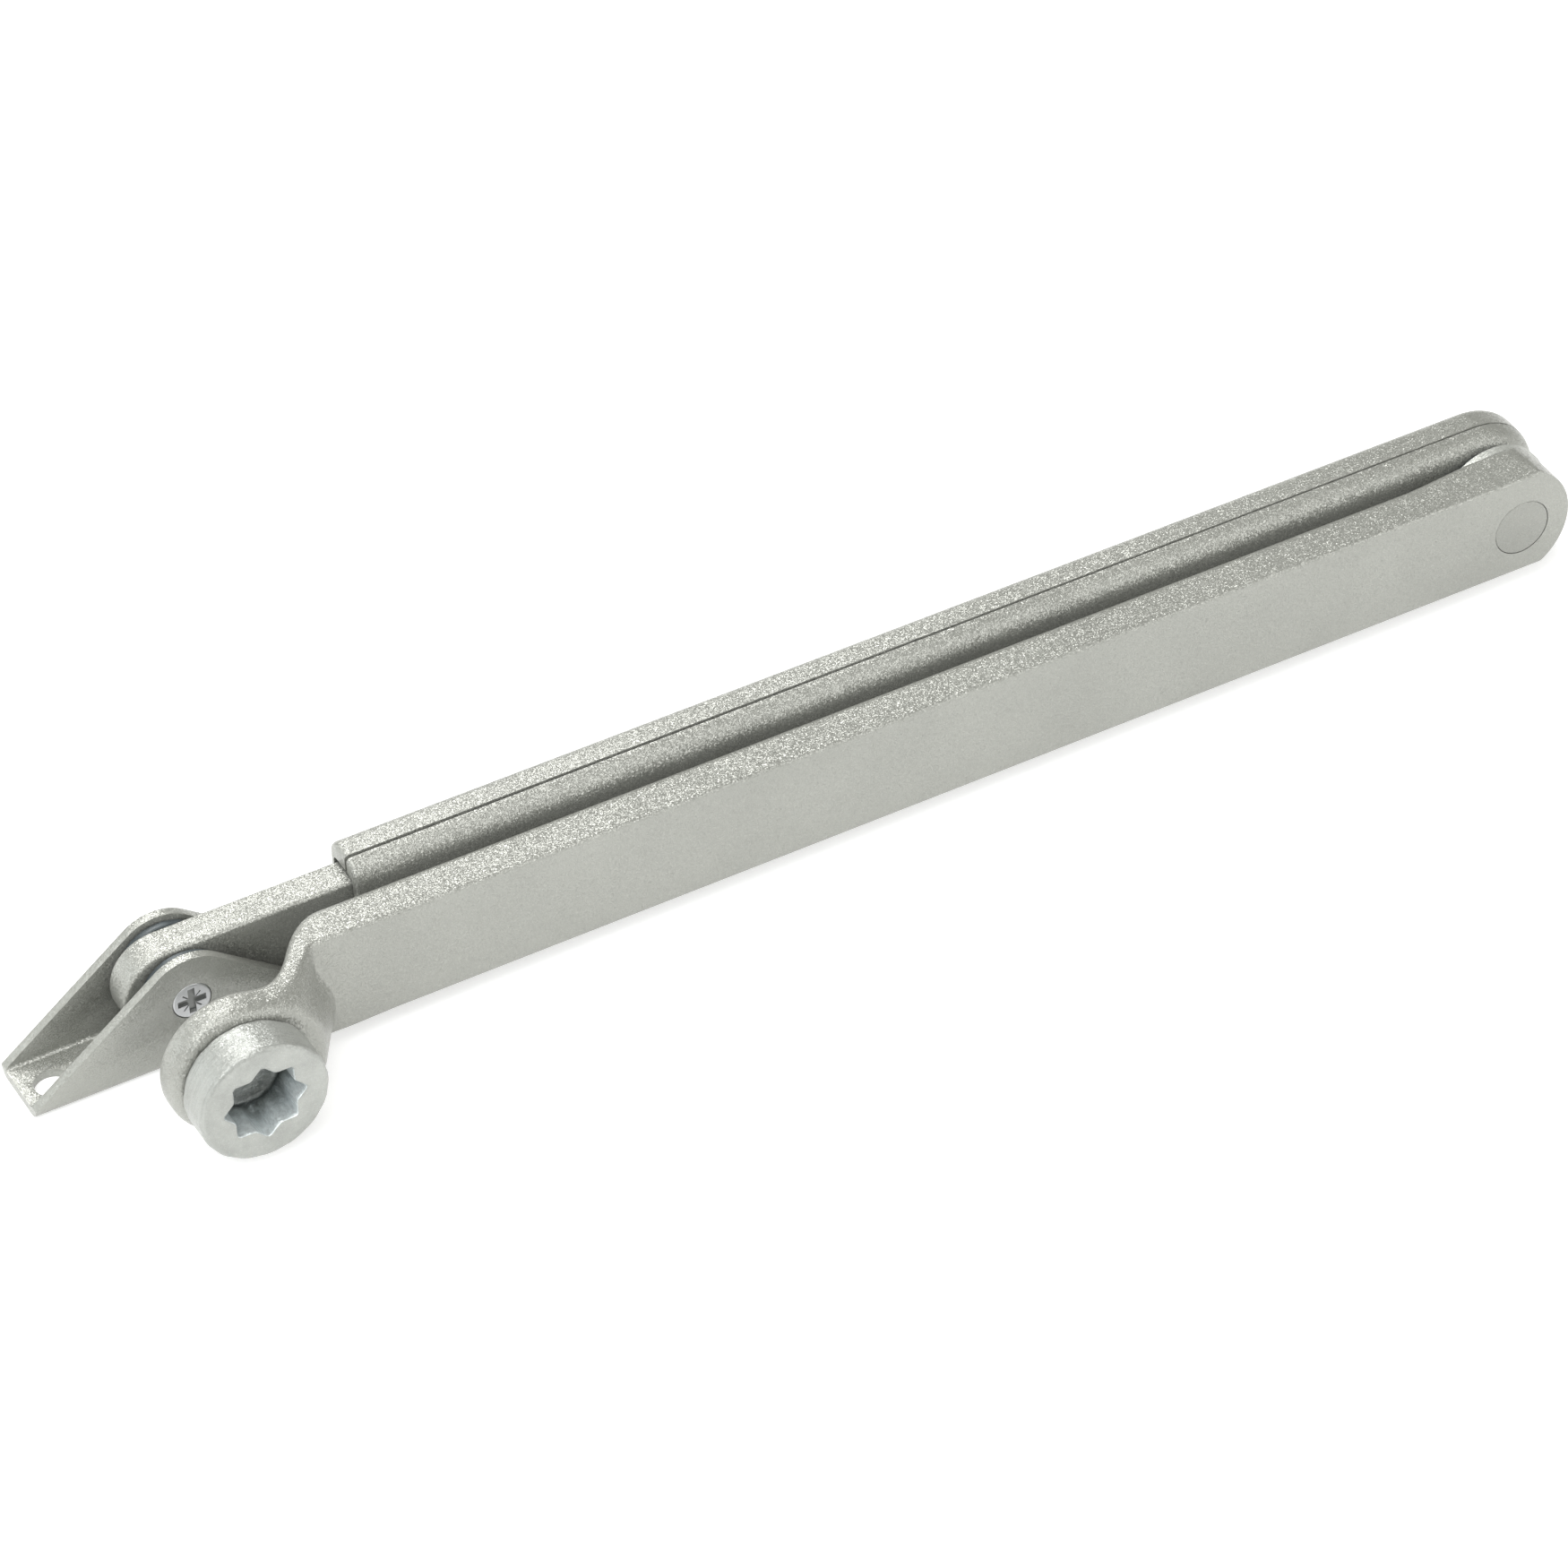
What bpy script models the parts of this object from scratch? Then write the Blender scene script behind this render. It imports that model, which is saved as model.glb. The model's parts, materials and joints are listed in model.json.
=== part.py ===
"""Folded link arm of an overhead door closer, modelled in metres with +Z up.

Frame: the spindle axis lies along Y and the mouth of the spindle socket faces -Y, with its centre at
the origin. The two arms lie one behind the other along +X, and the shoe's base plate faces -Z.
"""
import math

import bmesh
import bpy
import numpy as np
from mathutils import Matrix

MM = 0.001

# Driving dimensions
ARM_LENGTH = 237 * MM          # spindle axis to elbow axis
BAR_HEIGHT = 20 * MM
BAR_THICKNESS = 8 * MM
BAR_RISE = 0.6 * MM            # the bar's middle line lies this much above the spindle axis
BAR_FRONT_EDGE = 0.6 * MM      # rounding along the bar's front edges
BAR_BACK_EDGE = 2.8 * MM       # and along its back edges
BAR_END_RADIUS = 11 * MM       # the end is cut square to the faces
BAR_END_X = ARM_LENGTH - 2 * MM  # centre of the round end
EYE_RADIUS = 11.9 * MM
EYE_THICKNESS = 6.4 * MM
EYE_EDGE = 2.2 * MM            # rounding round the eye
EYE_BORE = 8.7 * MM            # radius
NECK_FILLET = 8 * MM           # between the eye's circle and the bar's edge

HUB_RADIUS = 10.8 * MM
HUB_COLLAR = 7.4 * MM          # length of the collar in front of the eye
HUB_SHANK = 8.5 * MM           # radius
HUB_EDGE = 0.9 * MM
SOCKET_SQUARE = 10 * MM        # side of each of the two squares of the star
SOCKET_DEPTH = 8 * MM
SOCKET_RELIEF = 2.75 * MM      # radius of the hole behind the star

SLEEVE_HEIGHT = 22 * MM
SLEEVE_THICKNESS = 9.3 * MM
SLEEVE_SHEET = 1.4 * MM
SLEEVE_EDGE = 2.6 * MM
SLEEVE_MOUTH_X = 30.2 * MM
SLIT_WIDTH = 0.8 * MM
SLIT_OFFSET = -0.7 * MM        # from the sleeve's middle plane
SLIT_END_ANGLE = -70           # degrees round the elbow end

ROD_HEIGHT = 16 * MM
ROD_THICKNESS = 5.9 * MM
ROD_EDGE = 0.5 * MM
ROD_DROP = 0.8 * MM            # the rod lies low in the sleeve
ROD_END_X = -1.3 * MM          # centre of the rod's round end
ROD_INNER_X = 195 * MM

PIVOT_X = 0.5 * MM
PIVOT_SCREW = 3.1 * MM         # radius
SHOE_LENGTH = 55 * MM
SHOE_WIDTH = 13 * MM
SHOE_SHEET = 1.6 * MM
SHOE_BEND = 2 * MM             # outer radius of the two bends
SHOE_APEX = 8.4 * MM           # radius of the flanges' round tops
SHOE_BASE_Z = -13 * MM
SHOE_LIP = 1.8 * MM            # height of the flanges at the ends of the base
SHOE_HOLE = 3.1 * MM           # radius
SHOE_HOLE_SPREAD = 22.3 * MM   # from the pivot to each hole, along X
SHOE_HOLE_SHIFT = -1.4 * MM    # of the holes from the shoe's middle plane

PIN_RADIUS = 5 * MM
PIN_HEAD_RADIUS = 7 * MM
PIN_HEAD = 2 * MM
PIN_HEAD_EDGE = 1.2 * MM
REAR_WASHER = 1 * MM           # thickness of the washer under the rivet's head
CLAMP_SCREW = 3 * MM           # radius
CLAMP_FLANGE = 6 * MM          # radius of the clamp bush's flange
CLAMP_SPIGOT = 3.8 * MM        # radius of its part inside the sleeve's wall
NUT_WIDTH = 10 * MM            # across the pivot nut's flats
NUT_THICKNESS = 2.5 * MM
PLAY = 0.2 * MM                # between a pin and its hole
GAP = 0.3 * MM                 # between faces that touch

# Stack along Y, from the socket's mouth to the back
EYE_FRONT = HUB_COLLAR + PLAY
EYE_BACK = EYE_FRONT + EYE_THICKNESS
BAR_FRONT = 17.8 * MM
BAR_BACK = BAR_FRONT + BAR_THICKNESS
SPACER_FRONT = BAR_BACK + PLAY
SPACER_BACK = SPACER_FRONT + 1.7 * MM
WASHER_FRONT = SPACER_BACK + PLAY
WASHER_BACK = WASHER_FRONT + 1.1 * MM
SLEEVE_FRONT = WASHER_BACK + PLAY
SLEEVE_MIDDLE = SLEEVE_FRONT + SLEEVE_THICKNESS / 2
SLEEVE_BACK = SLEEVE_FRONT + SLEEVE_THICKNESS
ROD_Z = -ROD_DROP
CLAMP_X = SLEEVE_MOUTH_X + 18 * MM

FINE = 48                      # segments of the larger circles
COARSE = 32                    # segments of the smaller ones


def clear_scene():
    for obj in list(bpy.data.objects):
        bpy.data.objects.remove(obj, do_unlink=True)


def make_collection(name):
    collection = bpy.data.collections.new(name)
    bpy.context.scene.collection.children.link(collection)
    return collection


def make_material(name, color, metallic, roughness):
    material = bpy.data.materials.new(name)
    material.use_nodes = True
    shader = material.node_tree.nodes["Principled BSDF"]
    shader.inputs["Base Color"].default_value = (*color, 1.0)
    shader.inputs["Metallic"].default_value = metallic
    shader.inputs["Roughness"].default_value = roughness
    return material


clear_scene()
PARTS = make_collection("door_closer_link_arm")
CUTTERS = make_collection("cutters")


def finish_part(obj, material, parent=None):
    """Shade a part smooth, give it its own material and hang it on its joint's empty."""
    obj.data.materials.clear()
    obj.data.materials.append(material)
    obj.data.shade_smooth()
    obj.data.set_sharp_from_angle(angle=math.radians(35))
    if parent is not None:
        world = obj.matrix_basis.copy()
        obj.parent = parent
        obj.matrix_parent_inverse = parent.matrix_world.inverted()
        obj.matrix_basis = world
    return obj


def joint_empty(name, location, parent=None):
    empty = bpy.data.objects.new(name, None)
    empty.empty_display_size = 0.02
    empty.location = location
    PARTS.objects.link(empty)
    bpy.context.view_layer.update()
    if parent is not None:
        empty.parent = parent
        empty.matrix_parent_inverse = parent.matrix_world.inverted()
        bpy.context.view_layer.update()
    return empty


def as_cutter(obj):
    obj.hide_render = True
    obj.display_type = "WIRE"
    return obj


def apply_boolean(obj, other, operation="DIFFERENCE"):
    modifier = obj.modifiers.new(other.name, "BOOLEAN")
    modifier.operation = operation
    modifier.solver = "EXACT"
    modifier.object = other
    return modifier


def mesh_object(name, bm, collection):
    mesh = bpy.data.meshes.new(name)
    bm.to_mesh(mesh)
    bm.free()
    obj = bpy.data.objects.new(name, mesh)
    collection.objects.link(obj)
    return obj


def turned(name, profile, x, z, collection, segments=FINE, closed=False):
    """Turn a profile of (radius, y) points about an axis along Y through (x, z).

    The profile runs from the back to the front along its outer side. A closed profile makes a ring.
    """
    bm = bmesh.new()
    verts = [bm.verts.new((radius, 0, y)) for radius, y in profile]
    for first, second in zip(verts, verts[1:]):
        bm.edges.new((first, second))
    if closed:
        bm.edges.new((verts[-1], verts[0]))
    obj = mesh_object(name, bm, collection)
    obj.location = (x, 0, z)
    obj.rotation_euler = (-math.pi / 2, 0, 0)
    screw = obj.modifiers.new("turn", "SCREW")
    screw.steps = segments
    screw.render_steps = segments
    screw.use_merge_vertices = True
    screw.merge_threshold = 0.00001
    return obj


def ring(name, outer, inner, front, back, x, z, chamfer=0.1 * MM):
    """A washer or bush: a ring with chamfers on its outer edges."""
    profile = [(inner, back), (outer - chamfer, back), (outer, back - chamfer), (outer, front + chamfer),
               (outer - chamfer, front), (inner, front)]
    return turned(name, profile, x, z, PARTS, closed=True)


def bore(name, radius, front, back, x, z, segments=FINE):
    """A cylindrical cutter along Y."""
    bpy.ops.mesh.primitive_cylinder_add(
        vertices=segments, radius=radius, depth=back - front,
        location=(x, (front + back) / 2, z), rotation=(math.pi / 2, 0, 0))
    return adopt_cutter(name)


def block(name, size, location, turn=0.0):
    """A box cutter, turned about Y."""
    bpy.ops.mesh.primitive_cube_add(size=1, location=location, rotation=(0, turn, 0))
    obj = bpy.context.active_object
    obj.data.transform(Matrix.Diagonal((*size, 1)))
    return adopt_cutter(name)


def adopt_cutter(name):
    obj = bpy.context.active_object
    obj.name = name
    for collection in list(obj.users_collection):
        collection.objects.unlink(obj)
    CUTTERS.objects.link(obj)
    bpy.context.view_layer.update()
    return as_cutter(obj)


def prism(name, outline, half_depth, location, rotation, collection, edge=0.0):
    """Extrude a flat closed outline, with rounded rims if edge is given, and make it a mesh."""
    curve = bpy.data.curves.new(name, "CURVE")
    curve.dimensions = "2D"
    curve.fill_mode = "BOTH"
    curve.extrude = half_depth - edge
    curve.bevel_depth = edge
    curve.bevel_resolution = 2
    curve.offset = -edge
    spline = curve.splines.new("POLY")
    spline.points.add(len(outline) - 1)
    for point, (u, v) in zip(spline.points, outline):
        point.co = (u, v, 0, 1)
    spline.use_cyclic_u = True
    source = bpy.data.objects.new(name + "_outline", curve)
    source.location = location
    source.rotation_euler = rotation
    collection.objects.link(source)
    bpy.context.view_layer.update()
    evaluated = source.evaluated_get(bpy.context.evaluated_depsgraph_get())
    mesh = bpy.data.meshes.new_from_object(evaluated)
    bm = bmesh.new()
    bm.from_mesh(mesh)
    bmesh.ops.remove_doubles(bm, verts=bm.verts, dist=0.000005)
    bmesh.ops.recalc_face_normals(bm, faces=bm.faces)
    bm.to_mesh(mesh)
    bm.free()
    obj = bpy.data.objects.new(name, mesh)
    obj.matrix_world = source.matrix_world
    collection.objects.link(obj)
    bpy.data.objects.remove(source, do_unlink=True)
    bpy.context.view_layer.update()
    return obj


ALONG_Y = (math.pi / 2, 0, 0)            # outline in XZ, extruded along Y
ALONG_X = (math.pi / 2, 0, math.pi / 2)  # outline in YZ, extruded along X


def arc(cx, cy, radius, start, end, steps):
    """Points of an arc, with its angles in degrees."""
    angles = np.radians(np.linspace(start, end, steps + 1))
    return [(cx + radius * math.cos(a), cy + radius * math.sin(a)) for a in angles]


def filleted(corners, steps=6):
    """A polyline through (x, y, fillet radius) corners, with its inner corners rounded."""
    points = [corners[0][:2]]
    for before, corner, after in zip(corners, corners[1:], corners[2:]):
        here = np.array(corner[:2])
        back = np.array(before[:2]) - here
        ahead = np.array(after[:2]) - here
        back /= np.linalg.norm(back)
        ahead /= np.linalg.norm(ahead)
        half_angle = math.acos(float(np.clip(back @ ahead, -1, 1))) / 2
        middle = (back + ahead) / np.linalg.norm(back + ahead)
        centre = here + middle * corner[2] / math.sin(half_angle)
        first = here + back * corner[2] / math.tan(half_angle) - centre
        last = here + ahead * corner[2] / math.tan(half_angle) - centre
        for share in np.linspace(0, 1, steps + 1):
            spoke = first * (1 - share) + last * share
            points.append(tuple(centre + spoke * corner[2] / np.linalg.norm(spoke)))
    points.append(corners[-1][:2])
    return points


def arm_profile():
    """Front and back faces of the main arm as polylines of (x, y): the bar steps forward to the eye."""
    far = ARM_LENGTH + BAR_HEIGHT
    front = filleted([(-0.02, EYE_FRONT, 0), (10.4 * MM, EYE_FRONT, 3 * MM),
                      (17.2 * MM, BAR_FRONT, 1.6 * MM), (far, BAR_FRONT, 0)])
    back = filleted([(-0.02, EYE_BACK, 0), (9.5 * MM, EYE_BACK, 2.5 * MM),
                     (17.8 * MM, BAR_BACK, 13 * MM), (far, BAR_BACK, 0)])
    return front, back


def arm_outline():
    """Upper half of the main arm's outline in XZ: the eye, its neck and a bar cut longer than needed."""
    half = BAR_HEIGHT / 2
    centre_x = math.sqrt((EYE_RADIUS + NECK_FILLET) ** 2 - (half + NECK_FILLET) ** 2)
    neck = math.degrees(math.atan2(half + NECK_FILLET, centre_x))
    bend_start, bend_end, bend_step = 9.5 * MM, 25.5 * MM, 1 * MM
    points = arc(0, 0, EYE_RADIUS, 180, neck, 14)
    points += arc(centre_x, half + NECK_FILLET, NECK_FILLET, 180 + neck, 270, 3)[1:]
    points += [(x, half) for x in np.arange(bend_start, bend_end, bend_step)]
    points += arc(ARM_LENGTH + half, 0, half, 90, 0, 6)
    return points


def rounded_plate(name, outline, faces, edges, rise, collection):
    """Loft a plate with round rims from the upper half of its outline, which ends on its middle line.

    faces gives the front and the back as polylines of (x, y), so the plate may be bent. edges gives the
    rim's radius and rise the height of the middle line, each as (x values, values) to interpolate.
    """
    points = np.array(outline)
    tangent = np.gradient(points, axis=0)
    tangent /= np.linalg.norm(tangent, axis=1)[:, None]
    tangent[0] = (0, 1)
    tangent[-1] = (0, -1)
    inward = np.stack([tangent[:, 1], -tangent[:, 0]], axis=1)
    turns = np.linspace(0, math.pi / 2, 4)
    levels = [(0, turn) for turn in turns[::-1]] + [(1, turn) for turn in turns]
    bm = bmesh.new()
    rows = []
    for side, turn in levels:
        edge = np.interp(points[:, 0], *edges[side])
        inset = points + inward * (edge * (1 - math.cos(turn)))[:, None]
        depth = edge * (1 - math.sin(turn))
        y = np.interp(inset[:, 0], *np.array(faces[side]).T) + (depth, -depth)[side]
        middle = np.interp(inset[:, 0], *rise)
        upper = [bm.verts.new(co) for co in zip(inset[:, 0], y, middle + inset[:, 1])]
        mirrored = list(zip(inset[:, 0], y, middle - inset[:, 1]))[1:-1]
        lower = [bm.verts.new(co) for co in mirrored[::-1]]
        rows.append(upper + lower)
    count = len(rows[0])
    for near, far in zip(rows, rows[1:]):
        for i in range(count):
            j = (i + 1) % count
            bm.faces.new((near[i], near[j], far[j], far[i]))
    for row in (rows[0], rows[-1]):
        last = len(points) - 1
        bm.faces.new((row[0], row[1], row[-1]))
        bm.faces.new((row[last], row[last + 1], row[last - 1]))
        for i in range(1, last - 1):
            bm.faces.new((row[i], row[i + 1], row[-(i + 1)], row[-i]))
    bmesh.ops.recalc_face_normals(bm, faces=bm.faces)
    return mesh_object(name, bm, collection)


def main_arm(material):
    bend = (EYE_RADIUS / 2, 20 * MM)
    edges = ((bend, (EYE_EDGE, BAR_FRONT_EDGE)), (bend, (EYE_EDGE, BAR_BACK_EDGE)))
    arm = rounded_plate("main_arm", arm_outline(), arm_profile(), edges, (bend, (0, BAR_RISE)), PARTS)
    reach = 30 * MM
    far_x = BAR_END_X + reach
    beyond = arc(BAR_END_X, BAR_RISE, BAR_END_RADIUS, 90, -90, 24)
    beyond += [(BAR_END_X, -reach), (far_x, -reach), (far_x, reach), (BAR_END_X, reach)]
    end_cut = prism("bar_end_cut", beyond, BAR_THICKNESS, (0, BAR_FRONT + BAR_THICKNESS / 2, 0), ALONG_Y,
                    CUTTERS)
    apply_boolean(arm, as_cutter(end_cut))
    apply_boolean(arm, bore("eye_bore", EYE_BORE, 0, EYE_BACK + 5 * MM, 0, 0))
    apply_boolean(arm, bore("elbow_bore", PIN_RADIUS + PLAY, BAR_FRONT - 5 * MM, BAR_BACK + 5 * MM,
                            ARM_LENGTH, 0))
    return finish_part(arm, material)


def spindle_hub(material):
    """A turned hub, staked in the eye, with a star socket made of two squares at 45 degrees."""
    back = EYE_BACK + GAP
    hub = turned("spindle_hub", [(0, back), (HUB_SHANK, back), (HUB_SHANK, HUB_COLLAR),
                                 (HUB_RADIUS, HUB_COLLAR), (HUB_RADIUS, HUB_EDGE),
                                 (HUB_RADIUS - HUB_EDGE * 0.3, HUB_EDGE * 0.3),
                                 (HUB_RADIUS - HUB_EDGE, 0), (0, 0)], 0, 0, PARTS)
    mouth = -3 * MM
    for index in range(2):
        depth = SOCKET_DEPTH - mouth
        square = block(f"socket_square_{index + 1}", (SOCKET_SQUARE, depth, SOCKET_SQUARE),
                       (0, mouth + depth / 2, 0), math.radians(45 * index))
        apply_boolean(hub, square)
    apply_boolean(hub, bore("socket_relief", SOCKET_RELIEF, SOCKET_DEPTH - 2 * MM, back + 3 * MM, 0, 0,
                            COARSE))
    return finish_part(hub, material)


def elbow_pin(material):
    """A rivet, flush with the main arm's front face, with a low head behind the sleeve."""
    head_front = SLEEVE_BACK + PLAY + REAR_WASHER + PLAY
    head_back = head_front + PIN_HEAD
    pin = turned("elbow_pin", [(0, head_back), (PIN_HEAD_RADIUS - PIN_HEAD_EDGE, head_back),
                               (PIN_HEAD_RADIUS - PIN_HEAD_EDGE * 0.3, head_back - PIN_HEAD_EDGE * 0.3),
                               (PIN_HEAD_RADIUS, head_back - PIN_HEAD_EDGE),
                               (PIN_HEAD_RADIUS, head_front),
                               (PIN_RADIUS, head_front), (PIN_RADIUS, BAR_FRONT), (0, BAR_FRONT)],
                 ARM_LENGTH, 0, PARTS)
    return finish_part(pin, material)


def elbow_rings(spacer_material, washer_material, bearing_material, elbow):
    """Spacer and washer between the arms, the bearing tube in the sleeve and the washer behind it."""
    hole = PIN_RADIUS + PLAY
    inside_front = SLEEVE_FRONT + SLEEVE_SHEET
    inside_back = SLEEVE_BACK - SLEEVE_SHEET
    finish_part(ring("elbow_spacer", 9.9 * MM, hole, SPACER_FRONT, SPACER_BACK, ARM_LENGTH, 0, 0.3 * MM),
                spacer_material)
    finish_part(ring("elbow_washer", 8.6 * MM, hole, WASHER_FRONT, WASHER_BACK, ARM_LENGTH, 0),
                washer_material)
    finish_part(ring("elbow_bearing", 7 * MM, hole, inside_front + GAP, inside_back - GAP, ARM_LENGTH, 0),
                bearing_material, elbow)
    rear_front = SLEEVE_BACK + PLAY
    finish_part(ring("elbow_rear_washer", 8.2 * MM, hole, rear_front, rear_front + REAR_WASHER,
                     ARM_LENGTH, 0), washer_material)


def sleeve_outline(half_height, left):
    return [(left, -half_height)] + arc(ARM_LENGTH, 0, half_height, -90, 90, 24) + [(left, half_height)]


def forearm_sleeve(material, elbow):
    """The folded-sheet sleeve: its two walls meet in a slit along the top and round the elbow end."""
    half = SLEEVE_HEIGHT / 2
    inner_half = half - SLEEVE_SHEET
    before_mouth = SLEEVE_MOUTH_X - 10 * MM
    sleeve = prism("forearm_sleeve", sleeve_outline(half, before_mouth), SLEEVE_THICKNESS / 2,
                   (0, SLEEVE_MIDDLE, 0), ALONG_Y, PARTS, SLEEVE_EDGE)
    hollow = prism("sleeve_hollow", sleeve_outline(inner_half, before_mouth - 5 * MM),
                   SLEEVE_THICKNESS / 2 - SLEEVE_SHEET, (0, SLEEVE_MIDDLE, 0), ALONG_Y, CUTTERS,
                   SLEEVE_EDGE - SLEEVE_SHEET)
    apply_boolean(sleeve, as_cutter(hollow))
    trim_length = 30 * MM
    apply_boolean(sleeve, block("mouth_trim", (trim_length, 30 * MM, 40 * MM),
                                (SLEEVE_MOUTH_X - trim_length / 2, SLEEVE_MIDDLE, 0)))
    reach = 2 * MM
    outer, inner = half + reach, inner_half - reach
    blade = [(before_mouth, inner), (before_mouth, outer)]
    blade += arc(ARM_LENGTH, 0, outer, 90, SLIT_END_ANGLE, 24)
    blade += arc(ARM_LENGTH, 0, inner, SLIT_END_ANGLE, 90, 24)
    slit = prism("slit_blade", blade, SLIT_WIDTH / 2, (0, SLEEVE_MIDDLE + SLIT_OFFSET, 0), ALONG_Y,
                 CUTTERS)
    apply_boolean(sleeve, as_cutter(slit))
    apply_boolean(sleeve, bore("sleeve_pin_bore", PIN_RADIUS + PLAY, SLEEVE_FRONT - 5 * MM,
                               SLEEVE_BACK + 5 * MM, ARM_LENGTH, 0))
    apply_boolean(sleeve, bore("clamp_bush_bore", CLAMP_SPIGOT + GAP, SLEEVE_BACK - 3 * MM,
                               SLEEVE_BACK + 3 * MM, CLAMP_X, ROD_Z, COARSE))
    return finish_part(sleeve, material, elbow)


def clamp(bush_material, screw_material, elbow):
    """A threaded bush in the sleeve's back wall and the socket set screw that grips the rod."""
    flange_front = SLEEVE_BACK + GAP
    flange_back = flange_front + 2.8 * MM
    spigot_front = SLEEVE_BACK - SLEEVE_SHEET + 0.1 * MM
    hole = CLAMP_SCREW + GAP
    edge = 0.5 * MM
    bush = turned("clamp_bush", [(hole, flange_back), (CLAMP_FLANGE - edge, flange_back),
                                 (CLAMP_FLANGE, flange_back - edge), (CLAMP_FLANGE, flange_front),
                                 (CLAMP_SPIGOT, flange_front), (CLAMP_SPIGOT, spigot_front),
                                 (hole, spigot_front)],
                  CLAMP_X, ROD_Z, PARTS, COARSE, closed=True)
    finish_part(bush, bush_material, elbow)
    rod_back = SLEEVE_MIDDLE + ROD_THICKNESS / 2
    tip, end = rod_back + GAP, flange_back + 0.4 * MM
    cone = 0.8 * MM
    screw = turned("clamp_screw", [(0, end), (CLAMP_SCREW - cone / 2, end), (CLAMP_SCREW, end - cone / 2),
                                   (CLAMP_SCREW, tip + cone), (CLAMP_SCREW - cone, tip), (0, tip)],
                   CLAMP_X, ROD_Z, PARTS, COARSE)
    socket = bore("clamp_hexagon", 1.73 * MM, end - 2.4 * MM, end + 2 * MM, CLAMP_X, ROD_Z, 6)
    apply_boolean(screw, socket)
    finish_part(screw, screw_material, elbow)


def forearm_rod(material, slide):
    half = ROD_HEIGHT / 2
    outline = arc(ROD_END_X, 0, half, 90, 270, 20) + [(ROD_INNER_X, -half), (ROD_INNER_X, half)]
    rod = prism("forearm_rod", outline, ROD_THICKNESS / 2, (0, SLEEVE_MIDDLE, ROD_Z), ALONG_Y, PARTS,
                ROD_EDGE)
    apply_boolean(rod, bore("rod_eye_bore", 5.2 * MM, SLEEVE_FRONT, SLEEVE_BACK, PIVOT_X, ROD_Z))
    return finish_part(rod, material, slide)


def pivot_rings(bush_material, washer_material, slide):
    """The bush in the rod's eye and the dark washers that fill the shoe on either side of it."""
    hole = PIVOT_SCREW + PLAY
    rod_front = SLEEVE_MIDDLE - ROD_THICKNESS / 2
    rod_back = SLEEVE_MIDDLE + ROD_THICKNESS / 2
    thickness = 1.4 * MM
    finish_part(ring("pivot_bush", 5 * MM, hole, rod_front, rod_back, PIVOT_X, ROD_Z), bush_material, slide)
    washers = (("pivot_front_washer", rod_front - GAP - thickness), ("pivot_rear_washer", rod_back + GAP))
    for name, front in washers:
        washer = ring(name, 7.6 * MM, hole, front, front + thickness, PIVOT_X, ROD_Z, 0.2 * MM)
        finish_part(washer, washer_material, slide)


def shoe_outline():
    """Side outline of the shoe about its pivot: a low lip at each end, sloping up to a round top."""
    half = SHOE_LENGTH / 2
    foot = SHOE_BASE_Z - ROD_Z
    lip = foot + SHOE_LIP
    distance = math.hypot(half, lip)
    slope = math.atan2(-lip, half) + math.asin(SHOE_APEX / distance)
    tangent = math.degrees(math.pi / 2 - slope)
    top = arc(0, 0, SHOE_APEX, tangent, 180 - tangent, 14)
    return [(-half, foot), (half, foot), (half, lip)] + top + [(-half, lip)]


def shoe_section():
    """Closed U section in (y, z): outer walls and base, then the inner ones, with round bends."""
    half, foot = SHOE_WIDTH / 2, SHOE_BASE_Z
    top = 20 * MM
    inner_half = half - SHOE_SHEET
    inner_bend = SHOE_BEND - SHOE_SHEET
    bend_y, bend_z = half - SHOE_BEND, foot + SHOE_BEND
    points = [(-half, top)] + arc(-bend_y, bend_z, SHOE_BEND, 180, 270, 5)
    points += arc(bend_y, bend_z, SHOE_BEND, 270, 360, 5) + [(half, top), (inner_half, top)]
    points += arc(bend_y, bend_z, inner_bend, 360, 270, 2)
    points += arc(-bend_y, bend_z, inner_bend, 270, 180, 2) + [(-inner_half, top)]
    return points


def shoe_bracket(material, pivot):
    """The fixing shoe: one bent sheet with two flanges for the pivot and two screw holes in its base."""
    shoe = prism("shoe_bracket", shoe_section(), SHOE_LENGTH, (PIVOT_X, SLEEVE_MIDDLE, 0), ALONG_X, PARTS)
    side = prism("shoe_side", shoe_outline(), SHOE_WIDTH, (PIVOT_X, SLEEVE_MIDDLE, ROD_Z), ALONG_Y, CUTTERS)
    apply_boolean(shoe, as_cutter(side), "INTERSECT")
    apply_boolean(shoe, bore("flange_bore", PIVOT_SCREW + GAP, SLEEVE_MIDDLE - SHOE_WIDTH,
                             SLEEVE_MIDDLE + SHOE_WIDTH, PIVOT_X, ROD_Z, COARSE))
    for index, sign in enumerate((-1, 1)):
        bpy.ops.mesh.primitive_cylinder_add(
            vertices=COARSE, radius=SHOE_HOLE, depth=8 * MM,
            location=(PIVOT_X + sign * SHOE_HOLE_SPREAD, SLEEVE_MIDDLE + SHOE_HOLE_SHIFT, SHOE_BASE_Z))
        apply_boolean(shoe, adopt_cutter(f"base_hole_{index + 1}"))
    return finish_part(shoe, material, pivot)


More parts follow.
